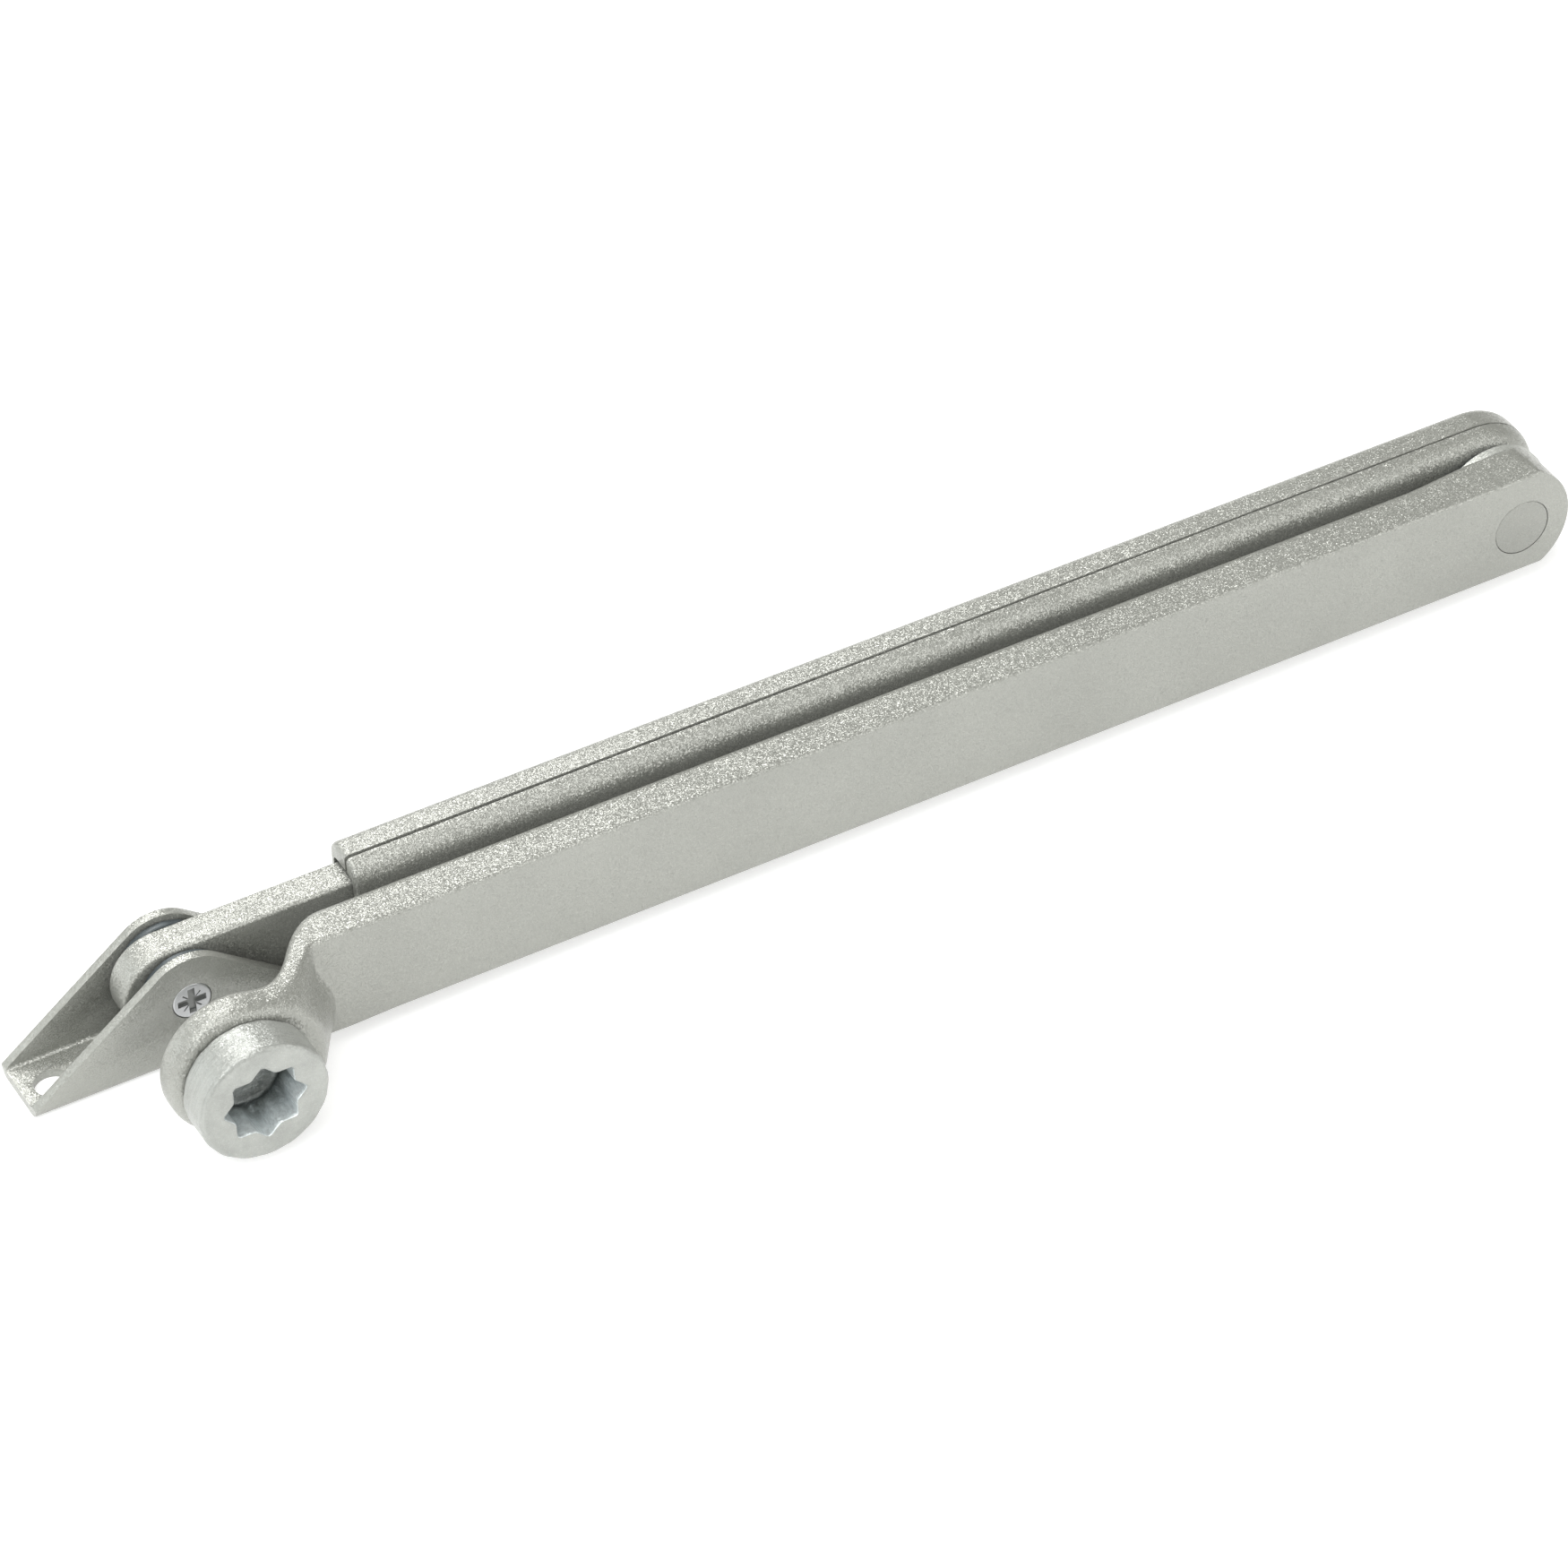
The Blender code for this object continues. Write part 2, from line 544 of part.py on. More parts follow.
def pivot_screw(screw_material, nut_material, pivot):
    """The cross-recessed pivot screw, flush with the front flange, and its thin nut behind."""
    front = SLEEVE_MIDDLE - SHOE_WIDTH / 2
    nut_front = SLEEVE_MIDDLE + SHOE_WIDTH / 2 + GAP
    nut_back = nut_front + NUT_THICKNESS
    end = nut_back + 0.4 * MM
    screw = turned("pivot_screw", [(0, end), (PIVOT_SCREW - 0.4 * MM, end), (PIVOT_SCREW, end - 0.4 * MM),
                                   (PIVOT_SCREW, front + 0.3 * MM), (PIVOT_SCREW - 0.3 * MM, front),
                                   (0, front)], PIVOT_X, ROD_Z, PARTS, COARSE)
    recess_depth = 1.5 * MM
    for index in range(2):
        wing = block(f"cross_wing_{index + 1}", (4.6 * MM, 2 * recess_depth, 1 * MM),
                     (PIVOT_X, front, ROD_Z), math.radians(90 * index))
        apply_boolean(screw, wing)
    finish_part(screw, screw_material, pivot)
    bpy.ops.mesh.primitive_cylinder_add(
        vertices=6, radius=NUT_WIDTH / 2 / math.cos(math.pi / 6), depth=NUT_THICKNESS,
        location=(PIVOT_X, (nut_front + nut_back) / 2, ROD_Z), rotation=(math.pi / 2, math.pi / 6, 0))
    nut = bpy.context.active_object
    nut.name = "pivot_nut"
    for collection in list(nut.users_collection):
        collection.objects.unlink(nut)
    PARTS.objects.link(nut)
    apply_boolean(nut, bore("nut_bore", PIVOT_SCREW + PLAY, nut_front - 5 * MM, nut_back + 5 * MM, PIVOT_X,
                            ROD_Z, COARSE))
    finish_part(nut, nut_material, pivot)


def build():
    silver = (0.48, 0.49, 0.46)
    paint = {name: make_material(name, silver, 0.6, 0.42)
             for name in ("arm_paint", "sleeve_paint", "rod_paint", "shoe_paint", "pin_paint")}
    hub_steel = make_material("hub_steel", (0.52, 0.53, 0.50), 0.8, 0.38)
    zinc = make_material("zinc_steel", (0.55, 0.56, 0.55), 1.0, 0.35)
    spacer_steel = make_material("spacer_steel", (0.50, 0.51, 0.48), 0.8, 0.35)
    dark_washer = make_material("dark_washer", (0.09, 0.10, 0.10), 0.2, 0.5)
    bearing = make_material("bearing_bronze", (0.45, 0.33, 0.18), 1.0, 0.4)
    black_screw = make_material("black_screw", (0.03, 0.03, 0.03), 0.6, 0.45)

    elbow = joint_empty("elbow_axis", (ARM_LENGTH, SLEEVE_MIDDLE, 0))
    slide = joint_empty("rod_slide", (SLEEVE_MOUTH_X, SLEEVE_MIDDLE, ROD_Z), elbow)
    pivot = joint_empty("shoe_axis", (PIVOT_X, SLEEVE_MIDDLE, ROD_Z), slide)

    main_arm(paint["arm_paint"])
    spindle_hub(hub_steel)
    elbow_pin(paint["pin_paint"])
    elbow_rings(spacer_steel, dark_washer, bearing, elbow)
    forearm_sleeve(paint["sleeve_paint"], elbow)
    clamp(zinc, black_screw, elbow)
    forearm_rod(paint["rod_paint"], slide)
    pivot_rings(bearing, dark_washer, slide)
    shoe_bracket(paint["shoe_paint"], pivot)
    pivot_screw(zinc, zinc, pivot)


build()
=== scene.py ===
"""Looks of a door closer's folded link arm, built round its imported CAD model.

Everything is in metres in the model's own frame: the spindle axis runs along Y through the origin, the
arms lie along +X and +Z is up, with the base of the shoe lowest.
"""

import json
import math

import bmesh
import bpy
import numpy as np
from mathutils import Matrix, Vector


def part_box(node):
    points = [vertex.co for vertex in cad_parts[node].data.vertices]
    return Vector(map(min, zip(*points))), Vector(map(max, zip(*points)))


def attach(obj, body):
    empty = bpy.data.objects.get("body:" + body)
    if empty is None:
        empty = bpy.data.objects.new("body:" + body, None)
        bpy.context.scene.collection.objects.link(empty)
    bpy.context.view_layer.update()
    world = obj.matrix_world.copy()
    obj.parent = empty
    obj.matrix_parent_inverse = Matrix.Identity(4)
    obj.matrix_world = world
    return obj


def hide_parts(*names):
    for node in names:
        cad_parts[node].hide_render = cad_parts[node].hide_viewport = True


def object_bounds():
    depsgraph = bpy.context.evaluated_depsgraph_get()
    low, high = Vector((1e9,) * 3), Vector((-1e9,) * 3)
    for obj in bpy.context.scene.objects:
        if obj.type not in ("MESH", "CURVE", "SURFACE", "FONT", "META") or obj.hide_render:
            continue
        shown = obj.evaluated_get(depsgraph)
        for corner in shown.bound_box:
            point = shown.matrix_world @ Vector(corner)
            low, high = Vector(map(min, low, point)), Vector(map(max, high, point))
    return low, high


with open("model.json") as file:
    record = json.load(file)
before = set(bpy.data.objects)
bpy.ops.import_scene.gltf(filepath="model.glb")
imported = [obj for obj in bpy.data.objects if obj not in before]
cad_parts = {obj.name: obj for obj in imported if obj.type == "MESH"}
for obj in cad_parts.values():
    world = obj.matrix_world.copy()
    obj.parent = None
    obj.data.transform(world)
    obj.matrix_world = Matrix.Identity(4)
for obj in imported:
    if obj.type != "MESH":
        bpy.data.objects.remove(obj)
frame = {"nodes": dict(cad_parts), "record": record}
cad_low, cad_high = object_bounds()

MM = 0.001
JOINTS = {joint["name"]: joint for joint in frame["record"]["behaviour"]["joints"]}


def span(node, axis):
    """Lower and upper end of a CAD node along an axis (0 to 2), in millimetres."""
    low_corner, high_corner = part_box(node)
    return round(low_corner[axis] / MM, 3), round(high_corner[axis] / MM, 3)


# The camera
VIEW_AZIMUTH = 27.13           # degrees from +Y towards +X
VIEW_ELEVATION = 40.84
VIEW_ROLL = -2.6
VIEW_DISTANCE = 1.155
VIEW_TARGET = (0.1028, 0.0247, -0.0006)
LENS = 167.76                  # on a 36 mm sensor


# ---------------------------------------------------------------- shapes

# Places in millimetres: X to the elbow, Y along the spindle into the arm, Z up
ARM_LENGTH = round(JOINTS["elbow"]["pos_m"][0] / MM, 3)
PIVOT, _, ROD_Z = (round(value / MM, 3) for value in JOINTS["shoe_pivot"]["pos_m"])
EYE_RADIUS = -span("main_arm", 0)[0]
EYE_FRONT, BAR_BACK = span("main_arm", 1)
BAR_FRONT, RIVET_BACK = span("elbow_pin", 1)
RIVET_RADIUS = span("elbow_pin", 2)[1]
HUB_RADIUS = span("spindle_hub", 0)[1]
HUB_BACK = span("spindle_hub", 1)[1]
SLEEVE_FRONT, SLEEVE_BACK = span("forearm_sleeve", 1)
SLEEVE_MIDDLE = (SLEEVE_FRONT + SLEEVE_BACK) / 2
SLEEVE_MOUTH = span("forearm_sleeve", 0)[0]
HALF_SLEEVE = span("forearm_sleeve", 2)[1]
CLAMP_X = sum(span("clamp_bush", 0)) / 2
SCREW_FRONT, SCREW_END = span("pivot_screw", 1)

# Sizes in millimetres
MARGIN = 5                     # of a cutter beyond what it cuts
EYE_BACK = EYE_FRONT + 6.4
HALF_BAR = 10.0
BAR_RISE = 0.6                 # of the bar's middle line above the spindle axis
BAR_END_X = ARM_LENGTH - 2
BAR_END_RADIUS = 11.0
EYE_BORE = 8.7
PIN_HOLE = 5.11
PIN_RING = 5.2                 # bore of the rings on the rivet
SCREW_RING = 3.3               # bore of the rings and the nut on the pivot screw
SHEET = 1.4
ROOF = 2.9                     # the sheet is thicker where it folds over


def arc(centre_x, centre_z, radius, start, end, steps):
    """Points on an arc, from start to end degrees."""
    angles = np.radians(np.linspace(start, end, steps + 1))
    return [(centre_x + radius * math.cos(a), centre_z + radius * math.sin(a)) for a in angles]


def circle(x, z, radius, segments):
    return arc(x, z, radius, 0, 360 - 360 / segments, segments - 1)


def placed(outline, x, z, degrees=0.0):
    """An outline turned by an angle, then moved to x and z."""
    cos, sin = math.cos(math.radians(degrees)), math.sin(math.radians(degrees))
    return [(x + a * cos - b * sin, z + a * sin + b * cos) for a, b in outline]


def filleted(corners, radii, steps=6, closed=True):
    """The corners of a polygon rounded with the given radii."""
    points = []
    count = len(corners)
    for i, corner in enumerate(corners):
        if radii[i] <= 0 or (not closed and i in (0, count - 1)):
            points.append(tuple(corner))
            continue
        here = np.array(corner, dtype=float)
        before = np.array(corners[i - 1], dtype=float) - here
        after = np.array(corners[(i + 1) % count], dtype=float) - here
        before /= np.linalg.norm(before)
        after /= np.linalg.norm(after)
        half = math.acos(max(-1.0, min(1.0, float(before @ after)))) / 2
        reach = radii[i] / math.tan(half)
        middle = here + (before + after) / np.linalg.norm(before + after) * radii[i] / math.sin(half)
        start, end = here + before * reach - middle, here + after * reach - middle
        for t in np.linspace(0, 1, steps + 1):
            way = start * (1 - t) + end * t
            points.append(tuple(middle + way / np.linalg.norm(way) * radii[i]))
    return points


def new_object(name, bm):
    """Turn a bmesh drawn in millimetres into an object in the scene."""
    bmesh.ops.recalc_face_normals(bm, faces=bm.faces)
    for vertex in bm.verts:
        vertex.co *= MM
    mesh = bpy.data.meshes.new(name)
    bm.to_mesh(mesh)
    bm.free()
    obj = bpy.data.objects.new(name, mesh)
    bpy.context.scene.collection.objects.link(obj)
    return obj


def bridge(bm, near, far):
    """Faces between two closed rows of vertices."""
    for i in range(len(near)):
        j = (i + 1) % len(near)
        bm.faces.new((near[i], near[j], far[j], far[i]))


def turned(name, profile, x, z, segments=128):
    """A closed profile of (radius, y) points turned about the axis through x and z, along Y."""
    bm = bmesh.new()
    rings = []
    for radius, y in profile:
        if radius < 1e-6:
            rings.append([bm.verts.new((x, y, z))])
        else:
            rings.append([bm.verts.new((a, y, b)) for a, b in circle(x, z, radius, segments)])
    for near, far in zip(rings, rings[1:] + rings[:1]):
        if len(near) == 1 and len(far) == 1:
            continue
        for i in range(segments):
            j = (i + 1) % segments
            corners = [near[i % len(near)], near[j % len(near)], far[j % len(far)], far[i % len(far)]]
            bm.faces.new(list(dict.fromkeys(corners)))
    return new_object(name, bm)


def ring_profile(outer, inner, front, back, edge):
    """Section of a flat ring, with its outer edges rounded more than its bore's."""
    corners = [(inner, front), (outer, front), (outer, back), (inner, back)]
    return filleted(corners, [edge * 0.6, edge, edge, edge * 0.6], 3)


def loft(name, near, far):
    """A solid between two outlines with the same number of points."""
    bm = bmesh.new()
    rows = [[bm.verts.new(point) for point in outline] for outline in (near, far)]
    bm.faces.new(rows[0])
    bm.faces.new(rows[1])
    bridge(bm, rows[0], rows[1])
    return new_object(name, bm)


def prism(name, outline, low, high):
    """An outline in XZ between two Y values."""
    return loft(name, *([(x, y, z) for x, z in outline] for y in (low, high)))


def cut(piece, cutter, operation="DIFFERENCE"):
    """Apply a boolean and drop the cutter."""
    modifier = piece.modifiers.new("cut", "BOOLEAN")
    modifier.operation = operation
    modifier.solver = "EXACT"
    modifier.object = cutter
    freeze(piece)
    bpy.data.objects.remove(cutter, do_unlink=True)
    bm = bmesh.new()
    bm.from_mesh(piece.data)
    bmesh.ops.remove_doubles(bm, verts=bm.verts, dist=0.003 * MM)
    bmesh.ops.dissolve_degenerate(bm, edges=bm.edges, dist=0.001 * MM)
    bm.to_mesh(piece.data)
    bm.free()
    return piece


def freeze(piece):
    """Turn the modifiers' result into the piece's own mesh."""
    evaluated = piece.evaluated_get(bpy.context.evaluated_depsgraph_get())
    mesh = bpy.data.meshes.new_from_object(evaluated)
    mesh.name = piece.name
    piece.modifiers.clear()
    old = piece.data
    piece.data = mesh
    bpy.data.meshes.remove(old)
    return piece


def bevel(piece, width, segments=2, angle=35):
    """Round the edges that are sharper than an angle."""
    modifier = piece.modifiers.new("edge", "BEVEL")
    modifier.width = width * MM
    modifier.segments = segments
    modifier.limit_method = "ANGLE"
    modifier.angle_limit = math.radians(angle)
    modifier.harden_normals = False
    modifier.use_clamp_overlap = True
    return freeze(piece)


def hole(piece, radius, y_low, y_high, x, z, segments=96):
    """Cut a round hole along Y."""
    return cut(piece, prism("hole", circle(x, z, radius, segments), y_low, y_high))


def settle(piece, body, nodes, material, angle=35):
    """Shade a finished piece, dress it and let it stand for its CAD node."""
    piece.data.materials.clear()
    piece.data.materials.append(material)
    piece.data.shade_smooth()
    piece.data.set_sharp_from_angle(angle=math.radians(angle))
    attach(piece, body)
    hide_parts(*nodes)
    return piece


# ----- main arm

# Where the neck's front wall starts and ends along X, at levels of Z
WALL_LEVELS = (-10.0, -7.9, -4.7, -0.3, 4.2, 7.0, 10.6)
WALL_START = (11.6, 12.8, 13.4, 13.8, 13.4, 11.8, 8.4)
WALL_END = (17.6, 19.0, 20.0, 19.7, 17.3, 16.9, 17.2)


def smooth_table(levels, values, at):
    """Interpolate with the corners rounded over about 2 mm."""
    offsets = np.linspace(-1.6, 1.6, 9)
    return sum(np.interp(at + o, levels, values) for o in offsets) / len(offsets)


def soft_ramp(u, start, end):
    """0 below 0, 1 above 1, with its two corners rounded over the given widths."""
    u = np.asarray(u, dtype=float)
    value = np.clip(u, 0, 1)
    low = np.abs(u) < start
    value = np.where(low, (u + start) ** 2 / (4 * start), value)
    high = np.abs(u - 1) < end
    return np.where(high, 1 - (1 + end - u) ** 2 / (4 * end), value)


def front_y(x, z):
    """Front face of the arm: the eye's face, the bulging wall of the neck and the bar's face."""
    start = smooth_table(WALL_LEVELS, WALL_START, z)
    end = smooth_table(WALL_LEVELS, WALL_END, z)
    middle = np.exp(-((z + 1.0) / 6.5) ** 4)
    ramp = soft_ramp((x - start) / (end - start), 0.5 - 0.34 * middle, 0.12 - 0.04 * middle)
    return EYE_FRONT + (BAR_FRONT - EYE_FRONT) * ramp


def back_y(x):
    """Back face of the arm: the eye's, the neck's slope and the bar's."""
    start, end = 9.5, 17.8
    return EYE_BACK + (BAR_BACK - EYE_BACK) * soft_ramp((x - start) / (end - start), 0.42, 0.5)


def arm_outline():
    """Upper edge of the arm from the eye's tip to beyond its end, with a long blend at the neck."""
    leave, blend_end, fine_end, step = 74, 18.0, 30, 0.7
    tangent = math.radians(leave)
    start_x, start_z = EYE_RADIUS * math.cos(tangent), EYE_RADIUS * math.sin(tangent)
    run = blend_end - start_x
    slope = -run / math.tan(tangent)
    blend = []
    for t in np.linspace(0, 1, 25)[1:]:
        height = (2 * t ** 3 - 3 * t ** 2 + 1) * start_z + (t ** 3 - 2 * t ** 2 + t) * slope
        blend.append((start_x + run * t, height + (3 * t ** 2 - 2 * t ** 3) * HALF_BAR))
    fine = np.arange(blend_end + step, fine_end, step)
    coarse = np.linspace(fine_end, BAR_END_X + 20, 76)
    straight = [(x, HALF_BAR) for x in (*fine, *coarse)]
    return np.array(arc(0, 0, EYE_RADIUS, 180, leave, 44) + blend + straight)


def arm_edges(x):
    """How far the front and the back edges are rounded along the arm."""
    along = np.clip((x - 8) / 16, 0, 1)
    along = along * along * (3 - 2 * along)
    front, back = (eye * (1 - along) + bar * along for eye, bar in ((2.4, 0.55), (2.2, 3.0)))
    return front, back - 1.9 * np.clip((x - 220) / 11, 0, 1)


def arm_rows(outline, steps=8):
    """Rows of points from the front face over the edge to the back one, in an upper and a lower half."""
    ahead = np.gradient(outline, axis=0)
    ahead /= np.linalg.norm(ahead, axis=1)[:, None]
    inward = np.stack([ahead[:, 1], -ahead[:, 0]], axis=1)
    inward[0] = (1, 0)
    front_edge, back_edge = arm_edges(outline[:, 0])
    turns = np.radians(np.linspace(0, 90, steps + 1))
    rounding = [(True, front_edge, turn) for turn in turns]
    rounding += [(False, back_edge, turn) for turn in turns[::-1]]
    crown_end, crown_depth = 0.62, 0.5
    rows = []
    for in_front, edge, turn in rounding:
        points = outline + inward * (edge * (1 - math.sin(turn)))[:, None]
        depth = edge * (1 - math.cos(turn))
        x = points[:, 0]
        rise = np.interp(x, (EYE_RADIUS / 2, 20), (0, BAR_RISE))
        crown = crown_depth * np.interp(x, (16, 30), (0, 1))
        halves = []
        for sign in (1, -1):
            z = rise + sign * points[:, 1]
            y = front_y(x, z) + depth if in_front else back_y(x) - depth
            middle = (y - BAR_FRONT) / (BAR_BACK - BAR_FRONT)
            drop = crown * np.clip((crown_end - middle) / crown_end, 0, 1) ** 2
            halves.append([tuple(point) for point in np.stack([x, y, z - sign * drop], axis=1)])
        rows.append(halves)
    return rows


def close_face(bm, upper, lower, in_front, levels=22):
    """Fill a face of the arm between its upper and lower edge, with vertices across its width."""
    columns = []
    for top, bottom in zip(upper[1:], lower[1:]):
        column = [top]
        for k in range(1, levels):
            z = top.co.z + (bottom.co.z - top.co.z) * k / levels
            y = float(front_y(top.co.x, z)) if in_front else top.co.y
            column.append(bm.verts.new((top.co.x, y, z)))
        columns.append(column + [bottom])
    for k in range(levels):
        bm.faces.new((upper[0], columns[0][k], columns[0][k + 1]))
    for left, right in zip(columns, columns[1:]):
        for k in range(levels):
            bm.faces.new((left[k], right[k], right[k + 1], left[k + 1]))


def beyond_arm():
    """Outline of what is cut off past the bar's round end, just off the bar's middle line."""
    reach, off_middle = 30, 0.013
    far_x = BAR_END_X + reach
    outline = arc(BAR_END_X, BAR_RISE + off_middle, BAR_END_RADIUS, 90, -90, 73)
    return outline + [(BAR_END_X, -reach), (far_x, -reach), (far_x, reach), (BAR_END_X, reach)]


def make_arm():
    """The forged arm: an eye, a cranked neck and a bar with a crowned upper and lower side."""
    bm = bmesh.new()
    rows = []
    for upper, lower in arm_rows(arm_outline()):
        top = [bm.verts.new(point) for point in upper]
        rows.append((top, top[:1] + [bm.verts.new(point) for point in lower[1:]]))
    for near, far in zip(rows, rows[1:]):
        for half in (0, 1):
            for i in range(len(near[half]) - 1):
                bm.faces.new((near[half][i], near[half][i + 1], far[half][i + 1], far[half][i]))
    close_face(bm, *rows[0], True)
    close_face(bm, *rows[-1], False)
    # the far end stays flat here and is cut round below
    bmesh.ops.holes_fill(bm, edges=[edge for edge in bm.edges if edge.is_boundary])
    arm = new_object("arm_forging", bm)
    hole(arm, EYE_BORE, 0, EYE_BACK + MARGIN, 0, 0)
    hole(arm, PIN_HOLE, BAR_FRONT - MARGIN, BAR_BACK + MARGIN, ARM_LENGTH, 0)
    return cut(arm, prism("end_cut", beyond_arm(), BAR_FRONT - MARGIN, BAR_BACK + MARGIN))


# ----- hub

def star(half, tip, ridge):
    """The eight-pointed outline of two squares at 45 degrees, with rounded tips and ridges."""
    corners, radii = [], []
    for i in range(16):
        angle = math.radians(22.5 * i)
        if i % 2:
            distance, radius = half / math.cos(math.radians(22.5)), ridge
        else:
            distance, radius = half * math.sqrt(2), tip
        corners.append((distance * math.cos(angle), distance * math.sin(angle)))
        radii.append(radius)
    return np.array(filleted(placed(corners, 0, 0, 45), radii, 5))


def make_hub():
    """Turned hub: star socket, face, collar, groove against the eye and staked shank."""
    inner = star(5.0, 0.65, 1.2)
    radius = np.hypot(inner[:, 0], inner[:, 1])
    way = inner / radius[:, None]
    rng = np.random.default_rng(7)
    wobble = rng.normal(0, 0.035, len(inner))
    wobble = (wobble + np.roll(wobble, 1)) / 2
    floor_y, screw_hole, round_wall, face = 8.0, 2.75, 5.95, 9.9
    groove, shank, groove_back = 10.15, 8.5, EYE_FRONT - 0.2
    # the hole behind the socket, then the socket's floor
    levels = [(screw_hole, HUB_BACK - 0.3), (screw_hole, floor_y + 0.6), (screw_hole + 0.2, floor_y + 0.35),
              (4.4, floor_y + 0.1), (5.2, floor_y), (5.7, floor_y - 0.15), (5.9, floor_y - 0.4)]
    # the walls, round at the floor and a star in front
    for y in np.linspace(7.3, 0.75, 12):
        fade = np.clip((y - 5.6) / 1.7, 0, 1) ** 1.5
        levels.append((radius * (1 - fade) + round_wall * fade, y))
    # the worn rim and the face
    rim = radius + 0.45
    levels += [(radius + 0.03, 0.45), (radius + 0.10 + wobble, 0.2), (radius + 0.26 + wobble, 0.05)]
    levels.append((rim, 0.0))
    levels += [(rim * (1 - t) + face * t, 0.0) for t in (0.25, 0.5, 0.75)]
    levels += filleted([(face, 0), (HUB_RADIUS, 0), (HUB_RADIUS, 3)], [0, 0.9, 0], 7, closed=False)[1:-1]
    # the collar, the groove and the shank
    levels += filleted([(HUB_RADIUS, 1.2), (HUB_RADIUS, 6.5), (groove, 6.75), (groove, groove_back),
                        (shank, groove_back), (shank, HUB_BACK), (3.1, HUB_BACK)],
                       [0, 0.35, 0.2, 0, 0, 0.25, 0], 4, closed=False)
    levels.append((screw_hole, HUB_BACK - 0.0001))
    bm = bmesh.new()
    rings = []
    for distance, y in levels:
        rings.append([bm.verts.new((x, y, z)) for x, z in way * np.reshape(distance, (-1, 1))])
    for near, far in zip(rings, rings[1:] + rings[:1]):
        bridge(bm, near, far)
    return new_object("hub_turned", bm)


# ----- forearm

def sleeve_outline(half, left, steps=64):
    """Side view of the sleeve: straight from the left, round about the elbow."""
    return [(left, -half)] + arc(ARM_LENGTH, 0, half, -90, 90, steps) + [(left, half)]


def rounded_slab(name, outline, low, high, edge, far_edge, steps=8):
    """A prism whose two faces' edges are rounded; the outline is convex and in order."""
    points = np.array(outline)
    ahead = np.roll(points, -1, axis=0) - np.roll(points, 1, axis=0)
    ahead /= np.linalg.norm(ahead, axis=1)[:, None]
    centre = points.mean(axis=0)
    inward = np.stack([-ahead[:, 1], ahead[:, 0]], axis=1)
    if float(np.sum(inward * (centre - points))) < 0:
        inward = -inward
    bm = bmesh.new()
    rows = []
    turns = np.radians(np.linspace(0, 90, steps + 1))
    levels = [(edge * (1 - math.sin(t)), low + edge * (1 - math.cos(t))) for t in turns]
    levels += [(far_edge * (1 - math.sin(t)), high - far_edge * (1 - math.cos(t))) for t in turns[::-1]]
    for inset, y in levels:
        rows.append([bm.verts.new((x, y, z)) for x, z in points + inward * inset])
    for near, far in zip(rows, rows[1:]):
        bridge(bm, near, far)
    bm.faces.new(rows[0])
    bm.faces.new(rows[-1])
    return new_object(name, bm)


def round_mouth(sleeve, radius):
    """Round the outer edge of the sleeve's mouth."""
    bm = bmesh.new()
    bm.from_mesh(sleeve.data)
    rim = [edge for edge in bm.edges
           if all(abs(vertex.co.x - SLEEVE_MOUTH * MM) < 1e-6 for vertex in edge.verts)]
    bmesh.ops.bevel(bm, geom=rim, offset=radius * MM, segments=4, profile=0.5, affect="EDGES",
                    clamp_overlap=True)
    bm.to_mesh(sleeve.data)
    bm.free()


def make_sleeve():
    """The folded sheet round the rod, with its seam along the top and round the end."""
    before, reach = SLEEVE_MOUTH - 10, 30
    sleeve = rounded_slab("sleeve_sheet", sleeve_outline(HALF_SLEEVE, before), SLEEVE_FRONT, SLEEVE_BACK,
                          3.8, 2.8)
    corners = [(-reach, -reach), (SLEEVE_MOUTH, -reach), (SLEEVE_MOUTH, reach), (-reach, reach)]
    cut(sleeve, prism("trim", corners, 20, 50))
    round_mouth(sleeve, 0.8)
    hollow = sleeve_outline(HALF_SLEEVE - ROOF, before - MARGIN)
    cut(sleeve, rounded_slab("hollow", hollow, SLEEVE_FRONT + SHEET, SLEEVE_BACK - SHEET, 0.9, 0.9, 5))
    cut(sleeve, seam_cutter(before))
    hole(sleeve, PIN_RING, SLEEVE_FRONT - MARGIN, SLEEVE_BACK + MARGIN, ARM_LENGTH, 0)
    hole(sleeve, 4.1, SLEEVE_BACK - 3, SLEEVE_BACK + 3, CLAMP_X, ROD_Z, 64)
    return bevel(sleeve, 0.3, 3, 40)


def seam_cutter(left):
    """A thin blade along the top and round the end, wider towards the mouth."""
    seam, half_width, widening = SLEEVE_MIDDLE - 1.25, 0.17, 0.8
    outer, inner = HALF_SLEEVE + 2, HALF_SLEEVE - ROOF - 2
    outline = [(left, inner), (left, outer)]
    outline += arc(ARM_LENGTH, 0, outer, 90, -70, 64)
    outline += arc(ARM_LENGTH, 0, inner, -70, 90, 64)
    blade = prism("seam", outline, seam - half_width, seam + half_width)
    for vertex in blade.data.vertices:
        if vertex.co.x < SLEEVE_MOUTH * MM:
            vertex.co.y += (vertex.co.y - seam * MM) * widening
    return blade


def make_rod():
    """The flat rod, with a round eye end and softly broken edges."""
    left, right = span("forearm_rod", 0)
    front, back = span("forearm_rod", 1)
    bottom, top = span("forearm_rod", 2)
    half = (top - bottom) / 2
    outline = arc(left + half, 0, half, 90, 270, 64) + [(right, -half), (right, half)]
    edge, bush_hole = 0.7, 5.2
    rod = rounded_slab("rod_bar", placed(outline, 0, ROD_Z), front, back, edge, edge, 5)
    return hole(rod, bush_hole, SLEEVE_FRONT, SLEEVE_BACK, PIVOT, ROD_Z)


# ----- shoe

